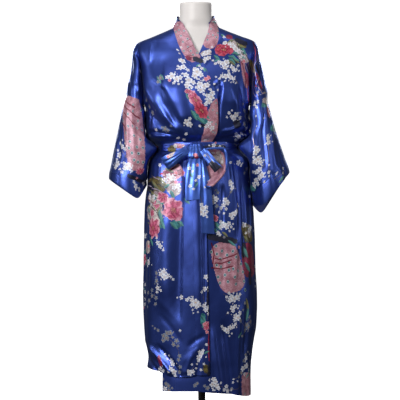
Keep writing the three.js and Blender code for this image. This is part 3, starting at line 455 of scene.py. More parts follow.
# =====================================================================  panels
def panel(side, face, start, lap, kind, z, u, upper, low_mix=None):
    """Half panel points; z and u arrays of one shape. u 0..1 edge to crease or side seam, 1..2 dropped shoulder."""
    z, u = np.broadcast_arrays(np.asarray(z, float), np.asarray(u, float))
    tw = np.ones(z.shape) if upper is True else (np.zeros(z.shape) if upper is False else upper)
    turn = mix(90.0, read(CAP, 'turn', np.maximum(z, 1162)), tw)
    frm = start(z)
    um = np.minimum(u, 1)
    b = mix(frm, side * turn, um)
    t = np.clip(u - 1, 0, 1)
    b = np.where(u > 1, side * mix(turn, 90, t), b)
    sb = b if face > 0 else np.where(b == 0, side, np.sign(b)) * (180 - np.abs(b))
    s = arc(z, sb)
    # cloth coordinate: over the dropped shoulder it goes on past the crease
    out = lap_at(z, sb) if lap else np.zeros(z.shape)
    d = body_disp(kind, z, sb)
    p = robe(z, sb, out, disp=d)
    if upper is not False:
        open_ = read(CAP, 'open', np.maximum(z, 1162))
        crease = read(CAP, 'creaseF' if face > 0 else 'creaseB', np.maximum(z, 1162))
        eb = side * turn
        esb = eb if face > 0 else np.sign(eb) * (180 - np.abs(eb))
        eo = lap_at(z, esb) if lap else 0.0
        edge_p = robe(z, esb, eo)
        pull = (-face * crease - edge_p[..., 1])
        p[..., 1] += np.where(u <= 1, pull * smooth(0.7, 1, u) * open_ * tw, 0)
        # dropped shoulder
        cr_x, cr_y = edge_p[..., 0], edge_p[..., 1] + pull * open_
        end = robe(z, np.full(z.shape, side * 90.0), lap_at(z, side * 90.0) if lap else 0.0)
        outer = side * read(CAP, 'outer', np.maximum(z, 1162))
        rx = cr_x + (p[..., 0] - edge_p[..., 0]) * (outer - cr_x) / (end[..., 0] - edge_p[..., 0])
        ry = p[..., 1]
        h = -face * read(CAP, 'bulge', np.maximum(z, 1162))
        dd = outer - cr_x
        B = [(1 - t) ** 3, 3 * t * (1 - t) ** 2, 3 * t * t * (1 - t), t ** 3]
        bx = cr_x * B[0] + (cr_x + 0.15 * dd) * B[1] + outer * B[2] + outer * B[3]
        by = cr_y * B[0] + 1.25 * h * B[1] + 0.9 * h * B[2]
        cx, cy = mix(rx, bx, open_), mix(ry, by, open_)
        p[..., 0] = np.where(u > 1, cx, p[..., 0])
        p[..., 1] = np.where(u > 1, cy, p[..., 1])
    return p, s


ARM_Z, UNDER_Z = 1162.0, 1147.0
STEP = 4.0
N_UP, N_LOW = int(253 / STEP), int(880 / STEP)
CAPS = 34
MIDROWS = 9


def seam_z(t):
    return ARM_Z + 33 * np.asarray(t) ** 0.8


def half_panel(side, face, start, lap, kind, cols, hem):
    us = np.linspace(0, 1, cols + 1)
    caps = 1 + np.arange(1, CAPS + 1) / CAPS
    allu = np.concatenate([us, caps])
    zs = np.linspace(1415, ARM_Z, N_UP + 1)
    K = N_UP
    # upper rows: over the dropped shoulder the last rows bend to the armhole seam
    Z = np.repeat(zs[:, None], len(allu), 1)
    end = np.where(allu > 1, seam_z(np.maximum(allu - 1, 0)), ARM_Z)
    w = smooth(1262, ARM_Z, zs)[:, None]
    lin = (1415 - zs)[:, None] / (1415 - ARM_Z)
    Z = 1415 - (1415 - Z) * (1 - (1 - (1415 - end)[None] / (1415 - ARM_Z)) * w)
    P1, S1 = panel(side, face, start, lap, kind, Z, np.repeat(allu[None], len(zs), 0), True)
    # between the crease's foot and the underarm
    n_mid = MIDROWS
    zm = np.linspace(ARM_Z, UNDER_Z, n_mid + 1)[1:]
    tw = ((zm - UNDER_Z) / (ARM_Z - UNDER_Z))[:, None] * np.ones((1, len(us)))
    P2, S2 = panel(side, face, start, lap, kind, np.repeat(zm[:, None], len(us), 1), np.repeat(us[None], n_mid, 0), tw)
    # below: rows even down to the hem
    ends, _ = panel(side, face, start, lap, kind, np.full((1, len(us)), 255.0), us[None], False)
    zh = read(hem, 'z', ends[0, :, 0])
    f = np.linspace(0, 1, N_LOW + 1)[1:, None]
    # keep rows level until close to the hem
    lev = UNDER_Z - (UNDER_Z - 225.0) * f
    Zl = mix(lev, zh[None] + (1 - f) * (UNDER_Z - 225.0), smooth(0.45, 1.0, f))
    P3, S3 = panel(side, face, start, lap, kind, Zl, np.repeat(us[None], N_LOW, 0), False)
    pad = lambda a: np.concatenate([a, np.zeros((a.shape[0], CAPS) + a.shape[2:])], 1)
    P = np.concatenate([P1, pad(P2), pad(P3)], 0)
    # ease the change of section at the armhole's foot
    r0, r1 = K - 9, K + n_mid + 9
    ramp_ = np.minimum(1, np.minimum(np.arange(r1 - r0) + 1, r1 - r0 - np.arange(r1 - r0)) / 5.0)
    wgt = ramp_[:, None, None] * (1 - smooth(0.74, 0.94, us))[None, :, None]
    for _ in range(26):
        Q = P[r0 - 1:r1 + 1, :cols + 1]
        P[r0:r1, :cols + 1] += wgt * (0.5 * Q[1:-1] + 0.25 * (Q[:-2] + Q[2:]) - Q[1:-1])
    # lengths between neighbours across the rows; they are not used
    seg = np.zeros(P.shape[:2])
    seg[:, 1:] = np.linalg.norm(np.diff(P, axis=1), axis=2)
    seg[K + 1:, cols + 1:] = 0
    return P, K


def cells(R, C, cols, K, lo=None):
    m = np.zeros((R - 1, C - 1), bool)
    m[:, :cols] = True
    m[:K, :] = True
    return m


# =====================================================================  meshes
def grid_normals(P, has, wrap, side):
    C = P.shape[1]
    nxt = np.roll(P, -1, 1) if wrap else P[:, 1:]
    A = P[:, :C if wrap else C - 1]
    a, b, c, d = A[:-1], nxt[:-1], A[1:], nxt[1:]
    f = np.cross(d - a, c - b) * -side
    f /= np.maximum(1e-9, np.linalg.norm(f, axis=2, keepdims=True))
    f *= has[..., None]
    n = np.zeros_like(P)
    n[:-1, :A.shape[1]] += f
    n[1:, :A.shape[1]] += f
    if wrap:
        g = np.roll(f, 1, 1)
        n[:-1] += g
        n[1:] += g
    else:
        n[:-1, 1:] += f
        n[1:, 1:] += f
    return n / np.maximum(1e-9, np.linalg.norm(n, axis=2, keepdims=True))


class Sheet:
    """A thin shell over a grid of outer-face points (mm)."""

    def __init__(self, name, P, has=None, wrap=False, side=1, thick=0.8, uv=None, normals=None):
        self.name, self.P, self.wrap, self.side, self.thick = name, P, wrap, side, thick
        R, C = P.shape[:2]
        self.has = np.ones((R - 1, C if wrap else C - 1), bool) if has is None else has
        self.N = grid_normals(P, self.has, wrap, side) if normals is None else normals
        if uv is None:
            across = np.zeros((R, C))
            across[:, 1:] = np.cumsum(np.linalg.norm(np.diff(P, axis=1), axis=2), 1)
            down = np.zeros((R, C))
            down[1:] = np.cumsum(np.linalg.norm(np.diff(P, axis=0), axis=2), 0)
            uv = np.stack([across, -down], -1)
        self.uv = uv
        self.layers = {}

    def build(self, slots):
        R, C = self.P.shape[:2]
        W = self.has.shape[1]
        ii, jj = np.nonzero(self.has)
        j2 = (jj + 1) % C
        quad = np.stack([ii * C + jj, ii * C + j2, (ii + 1) * C + j2, (ii + 1) * C + jj], 1)
        n = R * C
        outer = self.P.reshape(-1, 3)
        inner = outer - self.N.reshape(-1, 3) * self.thick
        used = np.zeros(n, bool)
        used[quad.ravel()] = True
        remap = np.full(2 * n, -1)
        remap[np.concatenate([used, used])] = np.arange(2 * used.sum())
        verts = np.concatenate([outer, inner])[np.concatenate([used, used])] * MM
        fo = quad if self.side < 0 else quad[:, ::-1]
        # find orientation by comparing with normals
        a, b, c = outer[fo[:, 0]], outer[fo[:, 1]], outer[fo[:, 2]]
        gn = np.cross(b - a, c - a)
        if (gn * self.N.reshape(-1, 3)[fo[:, 0]]).sum() < 0:
            fo = fo[:, ::-1]
        fi = fo[:, ::-1] + n
        # rims
        edges = np.concatenate([fo[:, [k, (k + 1) % 4]] for k in range(4)])
        key = np.sort(edges, 1)
        code = key[:, 0].astype(np.int64) * (n + 1) + key[:, 1]
        _, inv, cnt = np.unique(code, return_inverse=True, return_counts=True)
        border = cnt[inv] == 1
        be = edges[border]
        rim = np.stack([be[:, 1], be[:, 0], be[:, 0] + n, be[:, 1] + n], 1)
        faces = np.concatenate([fo, fi, rim])
        mat = np.concatenate([np.zeros(len(fo)), np.ones(len(fi)), np.zeros(len(rim))]).astype(np.int32)
        corner = faces.ravel() % n
        me = bpy.data.meshes.new(self.name)
        fr = remap[faces]
        me.vertices.add(len(verts))
        me.vertices.foreach_set("co", verts.ravel().astype(np.float32))
        me.loops.add(fr.size)
        me.loops.foreach_set("vertex_index", fr.ravel().astype(np.int32))
        me.polygons.add(len(fr))
        me.polygons.foreach_set("loop_start", np.arange(0, fr.size, 4, dtype=np.int32))
        me.polygons.foreach_set("loop_total", np.full(len(fr), 4, np.int32))
        me.polygons.foreach_set("material_index", mat)
        me.update(calc_edges=True)
        me.validate()
        # cloth coordinates in metres as UV
        uv = self.uv.reshape(-1, 2)[corner] * MM
        if self.wrap:
            f = uv.reshape(-1, 4, 2)
            span = self.span * MM
            m = (f[..., 0].max(1) - f[..., 0].min(1)) > span * 0.5
            f[m, :, 0] = np.where(f[m, :, 0] < span * 0.5, f[m, :, 0] + span, f[m, :, 0])
            uv = f.reshape(-1, 2)
        layer = me.uv_layers.new(name="cloth")
        layer.data.foreach_set("uv", uv.ravel().astype(np.float32))
        for key_, val in self.layers.items():
            if val.ndim == 2:      # scalar at grid points
                at = me.attributes.new(key_, 'FLOAT', 'CORNER')
                at.data.foreach_set("value", val.reshape(-1)[corner].astype(np.float32))
            else:                  # per cell, four corners, vector
                full = np.full((len(faces), 4, 3), 9.0, np.float32)
                cellv = val[self.has]          # (cells, 4, 3) corners in grid order quad
                order = np.arange(4)
                same = (fo == quad).all()
                co = cellv if same else cellv[:, ::-1]
                full[:len(fo)] = co
                full[len(fo):2 * len(fo)] = co[:, ::-1]
                # rims take the value of their cell's corners where they have one
                cellid = np.tile(np.arange(len(fo)), 4)[border]
                k = np.repeat(np.arange(4), len(fo))[border]
                e1, e0 = co[cellid, (k + 1) % 4], co[cellid, k]
                full[2 * len(fo):] = np.stack([e1, e0, e0, e1], 1)
                at = me.attributes.new(key_, 'FLOAT_VECTOR', 'CORNER')
                at.data.foreach_set("vector", full.ravel())
        for m in slots:
            me.materials.append(m)
        me.shade_smooth()
        me.set_sharp_from_angle(angle=math.radians(70))
        ob = bpy.data.objects.new(self.name, me)
        bpy.context.scene.collection.objects.link(ob)
        self.ob = ob
        return ob


# =====================================================================  node helper
class Nodes:
    """Small helper for writing shader maths."""

    def __init__(self, name):
        self.mat = bpy.data.materials.new(name)
        self.mat.use_nodes = True
        self.t = self.mat.node_tree
        self.t.nodes.clear()
        self.out = self.t.nodes.new('ShaderNodeOutputMaterial')
        self.bsdf = self.t.nodes.new('ShaderNodeBsdfPrincipled')
        self.t.links.new(self.bsdf.outputs[0], self.out.inputs[0])

    def put(self, sock, v):
        if isinstance(v, bpy.types.NodeSocket):
            self.t.links.new(v, sock)
        elif isinstance(v, (tuple, list)):
            sock.default_value = tuple(v) + ((1.0,) if len(v) == 3 and len(sock.default_value) == 4 else ())
        else:
            sock.default_value = v

    def m(self, op, a, b=None, c=None, clamp=False):
        n = self.t.nodes.new('ShaderNodeMath')
        n.operation = op
        n.use_clamp = clamp
        for k, v in enumerate((a, b, c)):
            if v is not None:
                self.put(n.inputs[k], v)
        return n.outputs[0]

    def step(self, lo, hi, v):
        n = self.t.nodes.new('ShaderNodeMapRange')
        n.interpolation_type = 'SMOOTHSTEP'
        self.put(n.inputs[0], v)
        n.inputs[1].default_value, n.inputs[2].default_value = lo, hi
        n.inputs[3].default_value, n.inputs[4].default_value = 0, 1
        return n.outputs[0]

    def ramp(self, v, lo, hi, a, b):
        n = self.t.nodes.new('ShaderNodeMapRange')
        self.put(n.inputs[0], v)
        n.inputs[1].default_value, n.inputs[2].default_value = lo, hi
        n.inputs[3].default_value, n.inputs[4].default_value = a, b
        return n.outputs[0]

    def mix(self, f, a, b):
        n = self.t.nodes.new('ShaderNodeMix')
        n.data_type = 'RGBA'
        self.put(n.inputs[0], f)
        self.put(n.inputs[6], a)
        self.put(n.inputs[7], b)
        return n.outputs[2]

    def attr(self, name):
        n = self.t.nodes.new('ShaderNodeAttribute')
        n.attribute_name = name
        return n

    def xyz(self, v):
        n = self.t.nodes.new('ShaderNodeSeparateXYZ')
        self.put(n.inputs[0], v)
        return n.outputs

    def noise(self, vec, scale, detail=2.0, rough=0.5):
        n = self.t.nodes.new('ShaderNodeTexNoise')
        self.put(n.inputs['Vector'], vec)
        n.inputs['Scale'].default_value = scale
        n.inputs['Detail'].default_value = detail
        n.inputs['Roughness'].default_value = rough
        return n.outputs[0]

    def uv(self, name="cloth"):
        n = self.t.nodes.new('ShaderNodeUVMap')
        n.uv_map = name
        return n.outputs[0]

    def bump(self, height, strength, distance, normal=None):
        n = self.t.nodes.new('ShaderNodeBump')
        n.inputs['Strength'].default_value = strength
        n.inputs['Distance'].default_value = distance
        self.put(n.inputs['Height'], height)
        if normal is not None:
            self.put(n.inputs['Normal'], normal)
        return n.outputs[0]


def lin(r, g, b):
    f = lambda v: (v / 255 / 12.92) if v / 255 <= 0.04045 else ((v / 255 + 0.055) / 1.055) ** 2.4
    return (f(r), f(g), f(b))


BLUE = lin(36, 52, 150)
WHITE = lin(238, 236, 228)
CREAM = lin(226, 222, 190)
PINK = lin(214, 112, 124)
TEAL = lin(62, 150, 150)
CRIMSON = lin(190, 34, 70)
ROSE = lin(236, 130, 160)

# scalar fields (mm, positive inside) and decal layers (a, b, id at each corner)
FIELDS = ['f_pink', 'f_maroon', 'f_olive', 'f_teal', 'f_grey', 'f_ink_and_shadow']
LAYERS = [('eye1', 'eye'), ('line1', 'line'), ('leaf1', 'leaf'), ('leaf2', 'leaf'), ('rose1', 'rose'), ('rose2', 'rose'),
          ('bloom1', 'bloom'), ('bloom2', 'bloom'), ('bloom3', 'bloom')]


def printed(name, full=True, ground=(lin(42, 62, 140), lin(52, 76, 160))):
    g = Nodes(name)
    uv = g.uv()
    x, y, _ = g.xyz(uv)
    col = BLUE
    # slight dye variation
    n = g.noise(uv, 9.0, 3.0)
    col = g.mix(g.ramp(n, 0.3, 0.7, 0, 1), ground[0], ground[1])
    if full:
        edge_n = g.noise(uv, 160.0, 2.0)
        wob = g.ramp(edge_n, 0.2, 0.8, -2.6, 2.6)
        speck = g.noise(uv, 420.0, 1.0)
        broad = g.noise(uv, 55.0, 2.0)
        inked = None
        # f_ink_and_shadow is dark print, and in a few places painted shadow along the band's edge, the cuff seam and
        # beside the pink stretch below the bust
        for key, ca, cb in (('f_pink', lin(144, 90, 104), lin(194, 146, 158)), ('f_maroon', lin(96, 20, 40), lin(150, 30, 70)),
                            ('f_olive', lin(40, 34, 18), lin(122, 108, 50)), ('f_teal', lin(24, 82, 90), lin(70, 140, 140)),
                            ('f_grey', lin(124, 100, 108), lin(208, 198, 192)), ('f_ink_and_shadow', lin(10, 10, 26), lin(30, 26, 52))):
            f = g.attr(key).outputs['Fac']
            mask = g.step(-0.7, 0.7, g.m('ADD', f, wob))
            c = g.mix(g.step(0.40, 0.62, g.m('ADD', g.m('MULTIPLY', speck, 0.5), g.m('MULTIPLY', broad, 0.5))), ca, cb)
            col = g.mix(mask, col, c)
            inked = mask if inked is None else g.m('MAXIMUM', inked, mask)
        lump1 = g.noise(uv, 62.0, 2.0)
        shift = g.t.nodes.new('ShaderNodeMapping')
        shift.inputs['Location'].default_value = (3.7, 1.9, 0.0)
        g.put(shift.inputs['Vector'], uv)
        lump2 = g.noise(shift.outputs[0], 62.0, 2.0)
        for key, kind in LAYERS:
            a, b, ident = g.xyz(g.attr(key).outputs['Vector'])
            r = g.m('SQRT', g.m('ADD', g.m('MULTIPLY', a, a), g.m('MULTIPLY', b, b)))
            frac = g.m('FRACT', ident)
            kind_no = g.m('FLOOR', ident)
            if kind == 'line':
                mask = g.m('MULTIPLY', g.step(0.0, 0.35, g.m('SUBTRACT', 1.0, g.m('ABSOLUTE', b))), g.m('LESS_THAN', g.m('ABSOLUTE', a), 1.0))
                c = g.mix(g.m('GREATER_THAN', kind_no, 0.5), lin(120, 104, 96), lin(110, 20, 40))
                c = g.mix(g.m('GREATER_THAN', kind_no, 1.5), c, lin(30, 22, 30))
                c = g.mix(g.m('GREATER_THAN', kind_no, 2.5), c, lin(176, 160, 184))
                col = g.mix(mask, col, c)
                continue
            if kind == 'eye':
                ring = g.step(0.0, 0.3, g.m('SUBTRACT', 1.0, r))
                col = g.mix(ring, col, lin(158, 182, 184))
                col = g.mix(g.step(0.0, 0.2, g.m('SUBTRACT', 0.64, r)), col, lin(56, 104, 120))
                col = g.mix(g.step(0.0, 0.2, g.m('SUBTRACT', 0.44, r)), col, lin(10, 14, 40))
                continue
            if kind == 'leaf':
                aa = g.m('SUBTRACT', 1.0, g.m('MULTIPLY', a, a), clamp=True)
                w = g.m('MULTIPLY', g.m('POWER', aa, 0.8), g.ramp(a, -1, 1, 1.05, 0.75))
                mask = g.m('MULTIPLY', g.step(-0.03, 0.08, g.m('SUBTRACT', w, g.m('ABSOLUTE', b))), g.m('LESS_THAN', g.m('ABSOLUTE', a), 1.0))
                vein = g.m('SINE', g.m('MULTIPLY', g.m('ADD', a, g.m('MULTIPLY', g.m('ABSOLUTE', b), -0.55)), 17.0))
                rib = g.m('MAXIMUM', g.step(0.0, 0.06, g.m('SUBTRACT', 0.08, g.m('ABSOLUTE', b))), g.m('MULTIPLY', g.step(0.82, 1.0, vein), 0.5))
                base = g.mix(g.ramp(g.m('ADD', b, g.m('MULTIPLY', a, 0.4)), -0.8, 0.8, 0, 1), lin(20, 66, 74), lin(78, 146, 140))
                base = g.mix(g.m('GREATER_THAN', kind_no, 0.5), base, g.mix(g.ramp(b, -0.7, 0.7, 0, 1), lin(44, 38, 22), lin(140, 128, 72)))
                col = g.mix(mask, col, g.mix(rib, base, lin(110, 150, 138)))
                inked = g.m('MAXIMUM', inked, mask)
                continue
            if kind == 'rose':
                a = g.m('ADD', a, g.m('MULTIPLY', g.m('SUBTRACT', lump1, 0.5), 0.75))
                b = g.m('ADD', b, g.m('MULTIPLY', g.m('SUBTRACT', lump2, 0.5), 0.75))
                r = g.m('SQRT', g.m('ADD', g.m('MULTIPLY', a, a), g.m('MULTIPLY', b, b)))
            th = g.m('ADD', g.m('ARCTAN2', b, a), g.m('MULTIPLY', frac, 6.2832))
            if kind == 'bloom':
                pet = g.m('POWER', g.m('ABSOLUTE', g.m('COSINE', g.m('MULTIPLY', th, 2.5))), 0.6)
                rim = g.m('ADD', 0.34, g.m('MULTIPLY', pet, 0.66))
                mask = g.step(-0.04, 0.06, g.m('SUBTRACT', rim, r))
                shade = g.ramp(g.m('SUBTRACT', rim, r), 0.0, 0.45, 0.0, 1.0)
                white = g.mix(shade, lin(232, 233, 236), lin(184, 188, 202))
                pinkc = g.mix(shade, lin(220, 176, 186), lin(196, 84, 112))
                # kind 2: the white blossom greyed, painted shade for blossoms that lie in shade
                grey = g.mix(shade, lin(136, 143, 156), lin(94, 104, 120))
                c = g.mix(g.m('GREATER_THAN', kind_no, 0.5), white, pinkc)
                c = g.mix(g.m('GREATER_THAN', kind_no, 1.5), c, grey)
                stam = g.m('MULTIPLY', g.step(0.55, 0.95, g.m('COSINE', g.m('MULTIPLY', th, 10.0))), g.m('LESS_THAN', g.m('ABSOLUTE', g.m('SUBTRACT', r, 0.33)), 0.13))
                c = g.mix(g.m('MULTIPLY', stam, 0.75), c, lin(196, 120, 92))
                c = g.mix(g.step(0.0, 0.06, g.m('SUBTRACT', 0.17, r)), c, lin(196, 160, 92))
                col = g.mix(mask, col, c)
                inked = g.m('MAXIMUM', inked, mask)
            elif kind == 'rose':
                wavy = g.m('ADD', r, g.m('ADD', g.m('MULTIPLY', g.m('COSINE', g.m('MULTIPLY', th, 7.0)), 0.055),
                                         g.m('MULTIPLY', g.m('COSINE', g.m('ADD', g.m('MULTIPLY', th, 4.0), g.m('MULTIPLY', r, 9.0))), 0.07)))
                mask = g.step(0.0, 0.05, g.m('SUBTRACT', 0.93, wavy))
                # two whorls: broad outer petals with pale tips, a tighter dark heart
                p_out = g.m('ABSOLUTE', g.m('COSINE', g.m('ADD', g.m('MULTIPLY', th, 4.0), g.m('MULTIPLY', r, 2.2))))
                p_in = g.m('ABSOLUTE', g.m('COSINE', g.m('ADD', g.m('MULTIPLY', th, 3.0), g.m('MULTIPLY', r, -3.0))))
                tip = g.m('MULTIPLY', g.ramp(wavy, 0.50, 0.92, 0.0, 1.0), g.m('POWER', p_out, 0.7))
                groove = g.m('MULTIPLY', g.step(0.74, 0.98, g.m('SUBTRACT', 1.0, p_out)), 0.8)
                outer = g.mix(tip, lin(158, 26, 74), lin(222, 168, 184))
                outer = g.mix(groove, outer, lin(112, 14, 50))
                heart = g.mix(g.m('MULTIPLY', g.ramp(r, 0.08, 0.5, 0.2, 1.0), p_in), lin(112, 8, 40), lin(206, 98, 132))
                whorl = g.step(0.0, 0.08, g.m('SUBTRACT', g.m('ADD', r, g.m('MULTIPLY', p_in, -0.10)), 0.42))
                c = g.mix(whorl, heart, outer)
                outer2 = g.mix(tip, lin(140, 14, 48), lin(206, 92, 110))
                outer2 = g.mix(groove, outer2, lin(84, 6, 30))
                heart2 = g.mix(g.m('MULTIPLY', g.ramp(r, 0.08, 0.5, 0.2, 1.0), p_in), lin(96, 4, 28), lin(190, 50, 78))
                c = g.mix(g.m('GREATER_THAN', kind_no, 0.5), c, g.mix(whorl, heart2, outer2))
                dots = g.m('MULTIPLY', g.step(0.3, 0.9, g.m('COSINE', g.m('MULTIPLY', th, 9.0))), g.m('LESS_THAN', r, 0.2))
                c = g.mix(dots, c, lin(206, 160, 120))
                col = g.mix(mask, col, c)
                inked = g.m('MAXIMUM', inked, mask)
    # fine satin weave: long floats along the hang
    w1 = g.m('SINE', g.m('MULTIPLY', x, 2 * math.pi / 0.0011))
    wv = g.m('ADD', g.m('MULTIPLY', w1, 0.5), g.noise(g.t.nodes.new('ShaderNodeCombineXYZ').outputs[0], 1.0)) if False else w1
    stretch = g.t.nodes.new('ShaderNodeMapping')
    stretch.vector_type = 'POINT'
    stretch.inputs['Scale'].default_value = (1.0, 0.10, 1.0)
    g.put(stretch.inputs['Vector'], uv)
    slub = g.noise(stretch.outputs[0], 900.0, 2.0)
    crinkle = g.noise(uv, 70.0, 3.0, 0.55)
    nb = g.bump(crinkle, 0.10, 0.0016)
    nb = g.bump(g.m('ADD', g.m('MULTIPLY', slub, 1.0), g.m('MULTIPLY', wv, 0.25)), 0.12, 0.0002, nb)
    g.put(g.bsdf.inputs['Normal'], nb)
    g.put(g.bsdf.inputs['Base Color'], col)
    g.put(g.bsdf.inputs['Metallic'], g.ramp(inked, 0, 1, 0.86, 0.16) if full else 0.86)
    rough = g.ramp(slub, 0.25, 0.75, 0.34, 0.41)
    g.put(g.bsdf.inputs['Roughness'], g.m('ADD', rough, g.m('MULTIPLY', inked, 0.08)) if full else rough)
    g.bsdf.inputs['Specular IOR Level'].default_value = 0.5
    g.bsdf.inputs['Specular Tint'].default_value = (0.62, 0.74, 1.0, 1.0)
    g.bsdf.inputs['Coat Weight'].default_value = 0.32
    g.bsdf.inputs['Coat Roughness'].default_value = 0.36
    g.bsdf.inputs['Sheen Weight'].default_value = 0.06
    g.bsdf.inputs['Sheen Roughness'].default_value = 0.4
    g.bsdf.inputs['Sheen Tint'].default_value = (0.55, 0.68, 1.0, 1.0)
    return g.mat


def reverse(name):
    g = Nodes(name)
    uv = g.uv()
    n = g.noise(uv, 30.0, 3.0)
    col = g.mix(g.ramp(n, 0.35, 0.65, 0, 1), lin(46, 62, 140), lin(66, 84, 160))
    spots = g.noise(uv, 48.0, 1.0)
    col = g.mix(g.m('MULTIPLY', g.step(0.60, 0.66, spots), 0.5), col, lin(150, 156, 176))
    slub = g.noise(uv, 900.0, 2.0)
    g.put(g.bsdf.inputs['Normal'], g.bump(slub, 0.15, 0.0003))
    g.put(g.bsdf.inputs['Base Color'], col)
    g.put(g.bsdf.inputs['Roughness'], g.ramp(slub, 0.2, 0.8, 0.52, 0.62))
    g.bsdf.inputs['Metallic'].default_value = 0.1
    return g.mat


SATIN = printed("printed_satin")
# the bow's satin: the same print on a lighter blue ground, painted light for the bow's lit faces
SATIN_BELT_LIT = printed("belt_satin", True, (lin(58, 88, 176), lin(70, 104, 194)))
SATIN_BACK = reverse("satin_reverse")

# =====================================================================  print placement
def poly_field(px, py, poly):
    """Signed distance in pixels to a polygon, positive inside."""
    poly = np.asarray(poly, float)
    best = np.full(px.shape, 1e9)
    inside = np.zeros(px.shape, bool)
    for k in range(len(poly)):
        a, b = poly[k], poly[(k + 1) % len(poly)]
        d = b - a
        f = np.clip(((px - a[0]) * d[0] + (py - a[1]) * d[1]) / max(1e-9, (d ** 2).sum()), 0, 1)
        best = np.minimum(best, np.hypot(px - a[0] - f * d[0], py - a[1] - f * d[1]))
        cond = ((a[1] > py) != (b[1] > py))
        with np.errstate(divide='ignore', invalid='ignore'):
            cross = a[0] + (py - a[1]) * (b[0] - a[0]) / (b[1] - a[1])
        inside ^= cond & (px < cross)
    return np.where(inside, best, -best)


